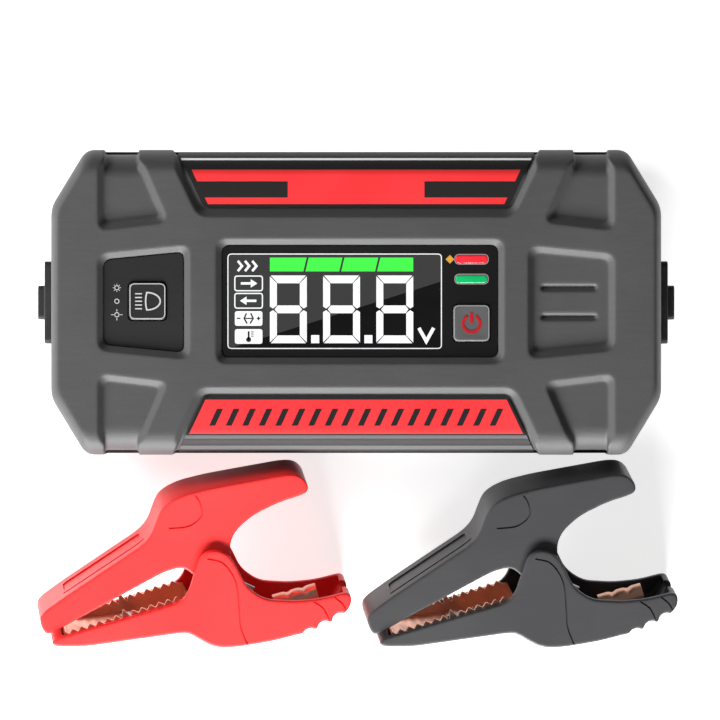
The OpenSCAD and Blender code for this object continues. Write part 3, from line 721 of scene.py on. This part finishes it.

# ---- Status lights ----
# Two light pipes of tinted acrylic, red for a fault and green for ready, with domed tops in a thin pale rim that is
# printed on the window. An amber diamond stands beside the red one. The printed rims and the diamond carry a faint
# painted glow.
pipes = {"fault": ("red_light", (0.86, 0.025, 0.04)), "ready": ("green_light", (0.005, 0.42, 0.13))}
rims = Film(*film)
for node, name in lights.items():
    l, w, x, y = seen_from_above(node)
    rings = [(0.9, place_of(node)[0].z), (0.9, glass_low - 0.6), (0, glass_low - 0.6), (0, glass_top - 0.05)]
    for degrees in (30, 60, 85):
        t = math.radians(degrees)
        rings.append((0.45 * (1 - math.cos(t)), glass_top - 0.05 + 0.25 * math.sin(t)))
    outlines = [level(soften(rectangle(l - 2 * i, w - 2 * i, x, y), w / 2 - i, 8), z) for i, z in rings]
    pipe = loft(name + "_light", outlines)
    smooth(pipe, 50)
    slot_name, tint = pipes[name]
    hand_over(pipe, lit(name + "_glow", tint, 0.35, 0.8), "pack", slot_name, node)
    rims.frame(l + 0.55, w + 0.55, x, y, w / 2 + 0.27, 0.28, 8)
# The rims are print; their faint emission is a painted glow.
hand_over(rims.piece("light_rims"), lit("rim_print", (0.62, 0.42, 0.43), 0.05), "pack", "display")
low, high = place_of("fault_light_pipe")
pip_x, pip_y = low.x - 1.9, (low.y + high.y) / 2
pip = Film(*film)
pip.patch([(pip_x, pip_y - 1.45), (pip_x + 1.45, pip_y), (pip_x, pip_y + 1.45), (pip_x - 1.45, pip_y)])
# The diamond is print; its emission is a painted glow.
hand_over(pip.piece("amber_diamond"), lit("amber_print_painted_glow", (0.8, 0.42, 0.05), 0.25), "pack", "display")

# ---- Power key ----
# A satin rubber-coated key with a slight dish in its top, a pale rim line and a red on-off symbol, both with a
# faint painted glow. A flange under the window keeps it in, and it presses a dome switch on the board.
satin_black = grained_plastic("satin_black_plastic", (0.022, 0.022, 0.023), (0.014, 0.014, 0.015), 0.4, 0.4, 0.012)
key_grey = grained_plastic("key_grey_plastic", (0.1, 0.1, 0.102), (0.078, 0.078, 0.08), 0.42, 0.4, 0.01)


def key(name, node, side):
    """A square cap with a dished top, on a flange that stays under the plate."""
    low, high = place_of(node)
    x, y = seen_from_above(node)[2:]
    flange_z = glass_low - 0.1
    rings = [(-key_flange, low.z), (-key_flange, flange_z), (0, flange_z), (0, high.z - 0.45)]
    for degrees in (20, 45, 70, 90):
        t = math.radians(degrees)
        rings.append((0.4 * (1 - math.cos(t)), high.z - 0.45 + 0.45 * math.sin(t)))
    rings += [(1.1, high.z - 0.02), (2.4, high.z - 0.1), (4.0, high.z - 0.14)]
    outlines = [level(soften(rectangle(side - 2 * i, side - 2 * i, x, y), key_corner, 7), z) for i, z in rings]
    made = loft(name, outlines)
    smooth(made, 50)
    return made


power_key = key("power_key_cap", "power_button", power_side)
hand_over(power_key, key_grey, "power_key", "key_grey", "power_button")
key_top = place_of("power_button")[1].z
rim = Film(key_top - 0.25, key_top)
rim.frame(power_side - 0.7, power_side - 0.7, power_x, power_y, 1.6, 0.3)
# The rim line is print; its faint emission is a painted glow.
hand_over(rim.piece("power_key_rim"), lit("pale_rim_print", (0.5, 0.5, 0.5), 0.06), "power_key", "key_grey")
symbol = Film(key_top - 0.2, key_top - 0.03)
symbol.line(arc(power_x, power_y - 0.2, 2.85, 118, 422, 40), 0.95)
symbol.line([(power_x, power_y + 0.1), (power_x, power_y + 3.5)], 1.0)
# The on-off symbol's emission is a painted glow.
hand_over(symbol.piece("power_symbol"), lit("red_symbol_painted_glow", (0.62, 0.012, 0.02), 0.18), "power_key", "red_light")

# ---- Light panel and key ----
# A satin black plate in the left recess, held by tape, with the square key of the lamp through it. The key carries
# a headlamp symbol, and three small symbols beside it stand for the lamp's modes. These white symbols carry a faint
# painted glow.
panel_outline = soften(grow(flip_x(pad_recess), -fit), recess_corner, 8)
panel = prism("light_panel_plate", panel_outline, glass_low, glass_top)
key_opening(panel, light_side, light_x, light_y)
eased(panel, 0.2)
hand_over(panel, satin_black, "pack", "panel_black", "light_panel")
light_key = key("light_key_cap", "light_button", light_side)
hand_over(light_key, satin_black, "light_key", "key_grey", "light_button")
# The key's sign, its rays and the mode marks are white print with a faint painted glow.
glowing_white_print = lit("white_print", (0.8, 0.8, 0.8), 0.12)
key_top = place_of("light_button")[1].z
lamp_sign = Film(key_top - 0.2, key_top)
lamp_sign.frame(light_side - 0.9, light_side - 0.9, light_x, light_y, 1.7, 0.3)
bulb = [(light_x - 0.2 + 4.5 * p[0], light_y + 2.9 * p[1]) for p in arc(0, 0, 1, -90, 90, 16)]
bulb += [(light_x - 0.5, light_y + 1.5), (light_x - 0.6, light_y), (light_x - 0.5, light_y - 1.5)]
lamp_sign.line(bulb, 0.5, True)
hand_over(lamp_sign.piece("light_key_sign"), glowing_white_print, "light_key", "display")
ray = Film(key_top - 0.2, key_top)
ray.line([(0, 0), (2.3, 0)], 0.42)
first_ray = (light_x - 4.1, light_y - 2.5, 0)
rays = copies("light_key_rays", ray.piece("ray"), glowing_white_print, 5, (0, 1.25, 0), first_ray)
hand_over(rays, glowing_white_print, "light_key", "display")
modes = Film(glass_top - 0.01, glass_top + film_t)
mode_x = light_x - 10.2
for y, spokes, reach in ((light_y + 4.5, 8, 1.35), (light_y, 0, 0.0), (light_y - 4.5, 4, 1.9)):
    modes.line(arc(mode_x, y, 0.72, steps=20), 0.26, True)
    centre = Vector((mode_x, y))
    for k in range(spokes):
        t = 2 * math.pi * k / spokes
        way = Vector((math.cos(t), math.sin(t)))
        modes.line([centre + way * 1.05, centre + way * reach], 0.24)
hand_over(modes.piece("mode_marks"), glowing_white_print, "pack", "display")

# ---- Label plates ----
# Two printed plates of 0.5 mm, glued in the long recesses and turned down over the rounded edge. The rear one is
# black with two red stripes and a red block, with a pale line near the case's edge that is a painted highlight; the
# front one is a red field over grey lines.
plate_t = 0.5
plate_outline = soften(grow(label_recess, -1.1), 1.6)


def label_plate(name, front):
    plate = half_body(name, recess_d - plate_t, shell_z + 0.4)
    combine(plate, half_body("core", recess_d, shell_z - 1))
    outline = flip_y(plate_outline) if front else plate_outline
    combine(plate, prism("outline", outline, shell_z + 0.4, case_h), "INTERSECT")
    eased(plate, 0.12, 40)
    return plate


def printed(name, field):
    """A satin print, black with red fields and thin lines that are given as functions of the place. On the rear
    plate the pale line is a painted highlight of the case's edge.
    """
    paint = Paint(name)
    red, lines, line_and_highlight_tone = field(abs(paint.along(0)), abs(paint.along(1)))
    fleck = paint.noise(0.5, 3.0)
    cloud = paint.noise(30, 2.0)
    black = paint.blend(fleck, (0.012, 0.01, 0.01), (0.02, 0.017, 0.017))
    red_ink = paint.blend(paint.spread(cloud, 0.3, 0.7), (0.84, 0.03, 0.034), (0.92, 0.04, 0.045))
    tone = paint.blend(lines, paint.blend(red, black, red_ink), line_and_highlight_tone)
    rough = paint.spread(fleck, 0.3, 0.7, 0.5, 0.62)
    step = paint.relief(red * 0.6 + fleck * 0.25, 0.02)
    return paint.finish(Base_Color=tone, Roughness=rough, Normal=step, IOR=1.3)


plate_top = half_w - 20.4
lean = 14 / 29.4
plate_half = label_x - 9.5


def rear_print_and_edge_highlight(x, y):
    """Two red stripes and a block between them, and a pale line near the case's edge that is a painted highlight of
    that edge.
    """
    side = plate_half - 3.1 + (y - plate_top) * lean
    upper = (y > 40.3) * (y < 44.2)
    lower = (y > 32.7) * (y < 34.9)
    block = (x < 22.8) * (y > 34.8) * (y < 40.4)
    # The pale line between 47.4 and 48.1 mm is a painted highlight of the case's edge.
    return (upper | lower | block) * (x < side), (y > 47.4) * (y < 48.1), (0.85, 0.85, 0.85)


def front_print(x, y):
    """A red field with two grey lines near the case's edge."""
    side = plate_half - 2.2 + (y - plate_top) * lean
    red = (y > plate_top + 1.9) * (y < 43.9) * (x < side)
    return red, (y > 44.4) * (y < 45.5) | (y > 47.9) * (y < 49.2), (0.09, 0.09, 0.094)


rear_label = label_plate("rear_label", False)
hand_over(rear_label, printed("rear_label_print_and_highlight", rear_print_and_edge_highlight), "pack", "label_black", "rear_label_plate")
front_label = label_plate("front_label", True)
hand_over(front_label, printed("front_label_print", front_print), "pack", "label_red", "front_label_plate")
dash = Film(case_h - recess_d + plate_t - 0.01, case_h - recess_d + plate_t + 0.04)
dash.patch([(0, 0), (2.0, 0), (4.6, 5.6), (2.6, 5.6)])
dash_count, dash_step, first_dash = 18, 5.5, (-49.0, -41.2, 0)
dashes = copies("label_dashes", dash.piece("dash"), dark_ink, dash_count, (dash_step, 0, 0), first_dash)
hand_over(dashes, dark_ink, "pack", "label_black")

# ---- End covers ----
# Black rubber covers with a stepped pull tab and fine ribs, one at each end. A rim on the back plugs the
# opening, and the lower edge is the living hinge.
rubber_paint = Paint("cover_black_rubber")
rubber_grain = rubber_paint.noise(0.35, 4.0, 0.65)
rubber_dust = rubber_paint.spread(rubber_paint.noise(9, 4.0, 0.6), 0.5, 0.8)
rubber_tone = rubber_paint.blend(rubber_dust * 0.5, (0.013, 0.013, 0.014), (0.05, 0.049, 0.047))
cover_rubber = rubber_paint.finish(
    Base_Color=rubber_tone,
    Roughness=rubber_paint.spread(rubber_grain, 0.3, 0.7, 0.55, 0.75),
    Normal=rubber_paint.relief(rubber_grain, 0.03),
)
cover_low, cover_high = place_of("right_end_cover")
cover_w, cover_h = cover_high.y - cover_low.y, cover_high.z - cover_low.z
cover_t = (cover_high.x - half_l) / 2
tab_w, rib_w, rib_depth = 11.4, 0.7, 0.5


def end_cover(name, body, node, mirrored):
    """Drawn with X across the cover and Y up, standing on the end of the case."""
    made = prism(name, soften(rectangle(cover_w, cover_h), 2, 6), 0.08, cover_t)
    tab = rectangle(tab_w, cover_h / 2)
    join(made, soften(tab, 1.6, 6), cover_t - 0.5, 2 * cover_t)
    join(made, soften(rectangle(port_w - 2, port_h - 2.4, 0, 0.4), 1.2, 4), -wall, 0.5)
    cut(made, soften(rectangle(port_w - 5, port_h - 5.4, 0, 0.4), 1, 4), -wall - 1, -0.4)
    for side in (-1, 1):
        for k in range(3):
            slit = rectangle(rib_w, cover_h - 5, side * (tab_w / 2 + 2.2 + 1.7 * k))
            cut(made, slit, cover_t - rib_depth, cover_t + 1)
    for k in range(4):
        slit = rectangle(tab_w - 3, 0.6, 0, -2.7 + 1.8 * k)
        cut(made, slit, 2 * cover_t - 0.4, 2 * cover_t + 1)
    moulded(made, cell=0.22, rounds=3, faces=24000)
    stand = Matrix(((0, 0, 1, half_l * MM), (1, 0, 0, 0), (0, 1, 0, mid_z * MM), (0, 0, 0, 1)))
    made.data.transform(stand)
    if mirrored:
        mirror(made, (1, 0, 0))
    hand_over(made, cover_rubber, body, "cover_rubber", node)


end_cover("right_cover_rubber", "right_cover", "right_end_cover", False)
end_cover("left_cover_rubber", "left_cover", "left_end_cover", True)

# ---- Sockets behind the covers ----
# The two-pole output socket at the right end, and a USB-A and a USB-C socket in a black bezel at the left
# end. They are seen only when a cover is open.
socket_blue = grained_plastic("socket_blue_plastic", (0.02, 0.07, 0.2), (0.012, 0.045, 0.14), 0.38, 0.5, 0.02)
dress("output_socket", socket_blue)


def metal(name, light, dark, rough, grain=0.5, stretch=(1, 1, 1), depth=0.006):
    """Drawn or plated metal with fine lines and a little tarnish."""
    paint = Paint(name)
    lines = paint.noise(grain, 3.0, 0.6, stretch)
    stain = paint.noise(7, 3.0, 0.6)
    tone = paint.blend(paint.spread(stain * 0.6 + lines * 0.4, 0.3, 0.72), dark, light)
    shine = paint.spread(lines * 0.6 + stain * 0.4, 0.3, 0.7, rough - 0.06, rough + 0.1)
    return paint.finish(Base_Color=tone, Metallic=1.0, Roughness=shine, Normal=paint.relief(lines, depth))


port_steel = metal("port_steel", (0.66, 0.66, 0.68), (0.48, 0.48, 0.5), 0.3, 0.4, (6, 1, 1))
screw_steel = metal("screw_steel", (0.56, 0.57, 0.58), (0.4, 0.41, 0.42), 0.28, 0.3)
dress("output_contacts", metal("contact_gold", (0.9, 0.66, 0.26), (0.72, 0.5, 0.18), 0.2, 0.4, (5, 1, 1)))
dress("usb_a_socket", port_steel)
dress("usb_c_socket", port_steel)
dress("usb_bezel", satin_black)

# ---- Lamp ----
# A clear lens with a domed, ringed front in the left end, over a white board with one bright chip. A flange
# behind the wall holds it.
lens_low, lens_high = place_of("lamp_lens")
lens_l = lens_high.x - lens_low.x
profile = [(0.0, 0.9), (1.2, 0.85), (2.4, 0.66), (2.6, 0.9), (3.6, 0.62), (3.8, 0.86), (4.7, 0.5), (5.4, 0.1)]
profile += [(5.9, 0.3), (5.9, lens_l - 1.2), (7.0, lens_l - 1.2), (7.0, lens_l), (0.0, lens_l)]
turn_steps = 64
points, faces = [], []
for r, depth in profile:
    ring = arc(0, 0, r, steps=turn_steps) if r else [(0, 0)]
    points.append([(lens_low.x + depth, lamp_y + a, mid_z + b) for a, b in ring])
flat = [p for ring in points for p in ring]
starts = [sum(len(ring) for ring in points[:i]) for i in range(len(points))]
for i in range(len(points) - 1):
    for k in range(turn_steps):
        m = (k + 1) % turn_steps
        a = [starts[i]] if len(points[i]) == 1 else [starts[i] + k, starts[i] + m]
        b = [starts[i + 1]] if len(points[i + 1]) == 1 else [starts[i + 1] + m, starts[i + 1] + k]
        faces.append(a + b)
lens = mesh_piece("lamp_lens_glass", flat, faces)
face_outwards(lens)
smooth(lens, 30)
glass = Paint("clear_lens")
clear_lens = glass.finish(
    Base_Color=glass.blend(glass.noise(4, 2.0), (0.86, 0.9, 0.92), (0.93, 0.96, 0.98)),
    Roughness=glass.spread(glass.noise(1.5, 2.0), 0.3, 0.7, 0.03, 0.1),
    Transmission_Weight=0.85,
    IOR=1.49,
)
hand_over(lens, clear_lens, "pack", "clear_lens", "lamp_lens")

# ---- Inside the case ----
# Three foil pouch cells with foam between them in a tray, the power board over them, the control board
# under the display, the lamp's and the sockets' small boards, two dome switches and the screws.


def circuit(name, light, dark):
    paint = Paint(name)
    tracks = paint.cells(2.2)
    weave = paint.noise(0.5, 2.0)
    tone = paint.blend(paint.spread(tracks, 0.3, 0.42), dark, light)
    shine = paint.spread(weave, 0.3, 0.7, 0.25, 0.4)
    return paint.finish(Base_Color=tone, Roughness=shine, Normal=paint.relief(tracks * 0.5 + weave * 0.5, 0.03))


green_board = circuit("board_lacquer", (0.03, 0.2, 0.07), (0.015, 0.12, 0.04))
white_board = circuit("lamp_board_lacquer", (0.82, 0.82, 0.8), (0.7, 0.7, 0.68))
for node in ("control_board", "power_board", "usb_board"):
    dress(node, green_board)
dress("lamp_board", white_board)
foil = Paint("cell_foil")
crease = foil.noise(6, 4.0, 0.6, (1, 1, 1), 1.2)
# The foil is darker where its crease bump is low: painted shade in the creases.
foil_tone = foil.blend(crease, (0.5, 0.51, 0.53), (0.66, 0.67, 0.69))
cell_foil = foil.finish(
    Base_Color=foil_tone,
    Metallic=1.0,
    Roughness=foil.spread(crease, 0.3, 0.7, 0.3, 0.45),
    Normal=foil.relief(crease, 0.25),
)
dress("battery_cells", cell_foil)
dress("cell_tray", satin_black)
foam = Paint("pad_foam")
pores = foam.cells(0.9)
pad_foam = foam.finish(
    # The colour is darker in the middle of each pore, where the bump is lowest: painted shade in the pits.
    Base_Color=foam.blend(pores, (0.16, 0.17, 0.18), (0.3, 0.31, 0.32)),
    Roughness=foam.spread(pores, 0.0, 0.6, 0.95, 0.8),
    Normal=foam.relief(pores, 0.25),
)
dress("cell_pads", pad_foam)
dress("button_switches", port_steel)
dress("board_screws", screw_steel)
screw_low, screw_high = place_of("case_screws")
screw_l, thread_r, thread_pitch = screw_high.z - screw_low.z, 1.5, 0.35
rings = [(0.9, 0.0), (1.6, 0.05), (2.3, 0.35), (2.7, 0.9), (2.8, 1.4), (2.8, 2.0), (thread_r, 2.0)]
thread_count = int((screw_l - 3.4) / thread_pitch)
rings += [(thread_r - 0.28 * (k % 2), 2.4 + thread_pitch * k) for k in range(thread_count)]
rings += [(0.5, screw_l)]
one_screw = loft("screw", [level(arc(0, 0, r, steps=28), z) for r, z in rings])
for l, w in ((2.9, 0.75), (0.75, 2.9)):
    cut(one_screw, rectangle(l, w), -1, 1.1)
smooth(one_screw, 40)
first_x, first_y = screw_spots[0]
step_x, step_y, first = (-2 * first_x, 0, 0), (0, -2 * first_y, 0), (first_x, first_y, screw_low.z)
case_screws = copies("case_screws_steel", one_screw, screw_steel, 2, step_x, first, 2, step_y)
hand_over(case_screws, screw_steel, "pack", "screw_steel", "case_screws")

# ---- Clamps ----
# Each clamp is two glass-filled plastic arms on a steel pin, pushed shut by a torsion spring. Toothed copper
# jaws are screwed inside the arms, and a copper lug in the lower handle takes the lead.
clamp_turn, clamp_lean = math.radians(22), math.radians(15)
pivot_u = 57.0
clamp_w, clamp_wall, clamp_gap = 26.0, 2.2, 0.4
inner_w = clamp_w - 2 * clamp_wall
upper_w = inner_w - 2 * clamp_gap
pin_d, jaw_t, jaw_gap, wire_d, lead_entry_r = 4.0, 1.2, 0.3, 1.6, 3.75
lower_profile = [
    (-1.8, -0.6), (-2.2, -3), (8, -7.2), (38, -15), (41.5, -16.2), (44.5, -20.6), (48, -24.6), (54, -27),
    (66, -29.8), (80, -31.8), (91, -31), (95.6, -28.6), (97, -24), (87, -22.6), (78.5, -20), (69.2, -15.4),
    (65.2, -9), (64.8, -1), (63.8, 3.6), (61.2, 6.6), (57.6, 7.8), (54.2, 6.6), (51.6, 3.2), (46.4, -3.4),
    (42.4, -5.2),
]
upper_profile = [
    (-2.4, 0.6), (42, 6), (48.4, 5.2), (52, -2.6), (54.6, -5.6), (57.6, -6.6), (61, -5.6), (63.4, -1.6),
    (65, 5.8), (68.6, 9.8), (76, 12.6), (86, 13.4), (96, 12.6), (97.4, 15.4), (96, 19.4), (92, 21.4),
    (80, 24), (66, 27), (56, 28.4), (49.6, 27.4), (46.4, 24.4), (42.4, 19.6), (38, 17.4), (8, 11),
    (-1.4, 8.6), (-3.2, 6.4), (-3.4, 2.4),
]
lower_hollow = [
    (2, -2.6), (9, -5), (38.6, -12.6), (43, -14.2), (46.6, -19), (50, -22.6), (55, -24.7), (66, -27.4),
    (80, -29.4), (90, -28.8), (94.4, -26), (94.6, -18), (68, -4), (68, 12), (40, 12), (40, 2), (2, 2),
]
upper_hollow = [
    (2, 4.4), (2, -3), (42, -3), (47, 2), (48.6, -12), (68, -12), (68, 6), (93.4, 10), (93.4, 17.6),
    (91, 18.8), (79, 21.4), (66, 24.4), (57, 25.6), (51, 24.8), (48.6, 22.8), (45.4, 18.4), (38.6, 14.6),
    (9, 7),
]


def across(name, outline, w):
    """A solid of width w across the clamp, which is drawn with X along it and Y up."""
    return prism(name, outline, -w / 2, w / 2)


def groove(piece, route, z0, z1):
    """Cuts a narrow line along a route into a face of the piece."""
    tool = Film(z0, z1)
    tool.line(route, 0.55)
    combine(piece, tool.piece("tool"))


def curve(points, steps=8):
    """A smooth route through the points."""
    points = [Vector(p) for p in points]
    ends = [2 * points[0] - points[1]] + points + [2 * points[-1] - points[-2]]
    out = []
    for a, b, c, d in zip(ends, ends[1:], ends[2:], ends[3:]):
        for i in range(steps):
            t = i / steps
            square, cube = 2 * a - 5 * b + 4 * c - d, 3 * b - a - 3 * c + d
            out.append(0.5 * (2 * b + (c - a) * t + square * t * t + cube * t**3))
    return out + [points[-1]]


def side_lines(arm, routes, half, depth):
    """Cuts the same lines into both side faces of an arm."""
    for z0, z1 in ((half - depth, half + 1), (-half - 1, -half + depth)):
        for route in routes:
            groove(arm, curve(route), z0, z1)


def lower_arm(name):
    arm = across(name, soften(lower_profile, 3.2, 5), clamp_w)
    combine(arm, across("hollow", lower_hollow, inner_w))
    for k in range(6):
        scallop = arc(62 + 5.6 * k, -33.1 - 0.33 * k + 0.11 * k * k, 2.6, steps=28)
        combine(arm, across("scallop", scallop, clamp_w + 2))
    cut(arm, arc(pivot_u, 0, pin_d / 2, steps=28), -clamp_w / 2 - 1, clamp_w / 2 - 1.2)
    entry = prism("entry", arc(0, 0, lead_entry_r), 0, 12)
    turn(entry, 90, "Y")
    shift(entry, 90, -24.2, 0)
    combine(arm, entry)
    moulded(arm, cell=0.32, rounds=9, faces=60000)
    cheek = [(56.8, 5.4), (61.2, 1.6), (62.6, -6), (60.2, -15), (58.4, -21), (58.2, -27.4)]
    grip_lines = [(84.2, -22.4), (86.4, -26), (86.8, -31.4)], [(91.2, -23.6), (92.8, -26.6), (93.4, -30)]
    side_lines(arm, (cheek, *grip_lines), clamp_w / 2, 0.5)
    smooth(arm, 50)
    return arm


def upper_arm(name):
    arm = across(name, soften(upper_profile, 3.2, 5), upper_w)
    combine(arm, across("hollow", upper_hollow, upper_w - 2 * clamp_wall))
    combine(arm, across("bore", arc(pivot_u, 0, pin_d / 2 + 0.05, steps=28), clamp_w))
    moulded(arm, cell=0.32, rounds=9, faces=60000)
    slope = math.degrees(math.atan2(17.4 - 11, 38 - 8))
    for outline, depth in (
        (soften(rectangle(31, 8.4, 0, 1.4), 1.6, 5), 0.5),
        (soften(rectangle(33, 1.3, 0.5, -5.6), 0.6, 4), 0.7),
    ):
        panel_cut = prism("panel", outline, -depth, 2)
        turn(panel_cut, -90, "X")
        turn(panel_cut, slope, "Z")
        shift(panel_cut, 23, 14.2, 0)
        combine(arm, panel_cut)
    shoulder = [(48.6, 19.4), (55.2, 17.6), (60.4, 19.4), (61.6, 23.6), (61, 26.6)]
    side_lines(arm, [shoulder], upper_w / 2, 0.4)
    smooth(arm, 50)
    return arm


teeth, tooth_pitch, big_tooth = 13, 3.0, 7


def jaw(name, w, upper):
    """A copper channel whose two edges are cut to small teeth with one big tooth."""
    edge = []
    for i in range(teeth, -1, -1):
        u, v = 3 + i * tooth_pitch, -0.25 - i * tooth_pitch * 0.085
        valley = 2.3 if i in (big_tooth - 1, big_tooth) else 1.5
        peak = 1.1 if i == big_tooth else -0.15
        edge.append((u + tooth_pitch / 2, v - valley))
        edge += [(u + 0.25, v + peak), (u - 0.25, v + peak)]
    sides = [(2.6, -2.2), (9.4, -4.8), (38.4, -12.3), (42, -13.4), (45.6, -9.4), (45.2, -5.6)] + edge
    inside = [(3.8, 4), (3.8, -2.1), (9.8, -4.8 + jaw_t), (38, -12 + jaw_t), (41.2, -13 + jaw_t), (48, -6), (48, 4)]
    made = across(name, sides, w)
    combine(made, across("hollow", inside, w - 2 * jaw_t))
    if upper:
        mirror(made, (0, 1, 0))
        shift(made, 0, 2.2, 0)
    eased(made, 0.14)
    return made


def coil_tree():
    """Geometry nodes for a coil of round wire."""
    inputs = {name: "Float" for name in ("Turns", "Coil Radius", "Coil Height", "Wire Radius")}
    tree, put = geometry_tree("wire_coil", {**inputs, "Finish": "Material"})
    given = put("NodeGroupInput")
    helix = {"Resolution": 32, "Rotations": given["Turns"], "Height": given["Coil Height"]}
    helix.update({"Start Radius": given["Coil Radius"], "End Radius": given["Coil Radius"]})
    spiral = put("GeometryNodeCurveSpiral", helix)
    circle = put("GeometryNodeCurvePrimitiveCircle", {"Resolution": 14, "Radius": given["Wire Radius"]})
    tube = {"Curve": spiral["Curve"], "Profile Curve": circle["Curve"], "Fill Caps": True}
    painted_result(put, put("GeometryNodeCurveToMesh", tube)["Mesh"], given["Finish"])
    return tree


wire_coil = coil_tree()
coil_r = pin_d / 2 + wire_d / 2 + 0.3


def spring(name, material):
    turns, pitch = 5.5, wire_d + 0.06
    coil_h = turns * pitch
    values = {"Turns": turns, "Coil Radius": coil_r * MM, "Coil Height": coil_h * MM}
    values.update({"Wire Radius": wire_d / 2 * MM, "Finish": material})
    coil = grown(name, wire_coil, values)
    shift(coil, pivot_u, 0, -coil_h / 2)
    for side, heading, reach in ((-1, -48, 18), (1, 12, 6.5)):
        leg = prism("leg", arc(0, 0, wire_d / 2, steps=14), 0, reach)
        turn(leg, 90, "Y")
        shift(leg, 0, side * coil_r, 0)
        turn(leg, heading, "Z")
        shift(leg, pivot_u, 0, side * coil_h / 2)
        combine(coil, leg, "UNION")
    smooth(coil, 50)
    return coil


def cable_lug(name):
    """A stamped tongue with a rolled barrel that is pinched twice."""
    barrel_l, barrel_r, bore_r, tongue_w, steps = 15, 4.1, 2.7, 9, 24
    rings = []
    for k in range(steps + 1):
        t = k / steps
        pinch = sum(math.exp(-(((t - place) / 0.06) ** 2)) for place in (0.35, 0.7))
        outline = arc(0, 0, barrel_r, steps=36)
        rings.append([(x, y * (1 - 0.1375 * pinch), barrel_l * t) for x, y in outline])
    barrel = loft(name, rings)
    cut(barrel, arc(0, 0, bore_r, steps=28), -1, barrel_l + 1)
    turn(barrel, 90, "Y")
    shift(barrel, 6.8, barrel_r, 0)
    tongue = soften([(-6, 0), (8, 0), (8, 1.4), (-6, 1.4)], 0.3, 2)
    join(barrel, tongue, -tongue_w / 2, tongue_w / 2)
    turn(barrel, -7, "Z")
    shift(barrel, 64, -25.9, 0)
    eased(barrel, 0.12, 40)
    return barrel


copper = metal("jaw_copper", (0.93, 0.56, 0.42), (0.78, 0.41, 0.29), 0.33, 0.5, (1, 1, 1), 0.003)
spring_steel = metal("spring_steel", (0.6, 0.61, 0.63), (0.4, 0.41, 0.43), 0.25, 0.3)
finishes = {
    "red": grained_plastic("red_clamp_plastic", (0.86, 0.025, 0.025), (0.8, 0.02, 0.02), 0.45, 0.5, 0.012),
    "black": grained_plastic("black_clamp_plastic", (0.036, 0.036, 0.038), (0.028, 0.028, 0.03), 0.45, 0.5, 0.014),
}
joints = {joint["name"]: joint for joint in frame["joints"]}
for colour, plastic in finishes.items():
    centre = Vector(joints[colour + "_clamp_open"]["pos_m"])
    turned = Matrix.Rotation(clamp_turn, 4, "Z") @ Matrix.Rotation(clamp_lean, 4, "X")
    stance = Matrix.Translation(centre) @ turned @ Matrix.Translation(Vector((-pivot_u, 0, 0)) * MM)
    low_body, high_body, arm_slot = colour + "_clamp", colour + "_upper_side", colour + "_plastic"
    lower_jaw_w, upper_jaw_w = inner_w - jaw_gap, upper_w - 2 * clamp_wall - jaw_gap
    pieces = [
        (lower_arm(colour + "_lower_grip"), plastic, low_body, arm_slot, "_lower_arm"),
        (upper_arm(colour + "_upper_grip"), plastic, high_body, arm_slot, "_upper_arm"),
        (jaw(colour + "_lower_teeth", lower_jaw_w, False), copper, low_body, "jaw_copper", "_lower_jaw"),
        (jaw(colour + "_upper_teeth", upper_jaw_w, True), copper, high_body, "jaw_copper", "_upper_jaw"),
        (spring(colour + "_spring_wire", spring_steel), spring_steel, low_body, "spring_steel", "_spring"),
        (cable_lug(colour + "_lug"), copper, low_body, "jaw_copper", "_cable_lug"),
    ]
    for piece, material, body, slot_name, part in pieces:
        piece.data.transform(stance)
        hand_over(piece, material, body, slot_name, colour + part)
    for part in ("_lower_screw", "_upper_screw", "_pivot_pin"):
        dress(colour + part, screw_steel)

# ---- Studio ----
# A pale light table under the pieces, one broad low light from the front left that models the slopes, a
# weak fill from behind, a dim panel overhead that the window mirrors, and a long lens over the face.
table_l = 6000
table = mesh_piece("table", level(rectangle(table_l, table_l), 0), [[0, 1, 2, 3]])
cloth = Paint("pale_table")
pale = cloth.blend(cloth.noise(60, 2.0), (0.84, 0.84, 0.84), (0.87, 0.87, 0.87))
table_finish = cloth.finish(Base_Color=pale, Roughness=0.8, Emission_Color=pale, Emission_Strength=0.85)
table.data.materials.append(table_finish)


def softbox(name, place, target, size, watts):
    light = bpy.data.lights.new(name, "AREA")
    light.shape, light.size, light.size_y, light.energy = "RECTANGLE", size[0], size[1], watts
    lamp = bpy.data.objects.new(name, light)
    bpy.context.scene.collection.objects.link(lamp)
    lamp.location = place
    lamp.rotation_euler = (Vector(target) - Vector(place)).to_track_quat("-Z", "Y").to_euler()
    return lamp


softbox("key_light", (-0.3, -1.2, 0.45), (0, 0, 0), (1.2, 0.4), 56)
softbox("fill_light", (-1.1, 0.45, 0.5), (0, 0, 0), (0.7, 0.4), 15)
window_light = softbox("window_light", (-0.051, 0.0664, 3.0), (-0.051, 0.0664, 0), (0.24, 0.12), 0.1)
window_light.rotation_euler = (0, 0, math.radians(17.6))

world = bpy.data.worlds.new("studio")
world.use_nodes = True
backdrop = world.node_tree.nodes["Background"].inputs
backdrop["Color"].default_value, backdrop["Strength"].default_value = (1, 1, 1, 1), 0.12
bpy.context.scene.world = world
bpy.context.scene.view_settings.view_transform = "Standard"

camera_x, camera_y, camera_z, focal_length = 0.0013, -0.0193, 2.442, 360
lens_data = bpy.data.cameras.new("camera")
lens_data.lens, lens_data.sensor_width = focal_length, 36
camera = bpy.data.objects.new("camera", lens_data)
bpy.context.scene.collection.objects.link(camera)
camera.location = (camera_x, camera_y, camera_z)
bpy.context.scene.camera = camera
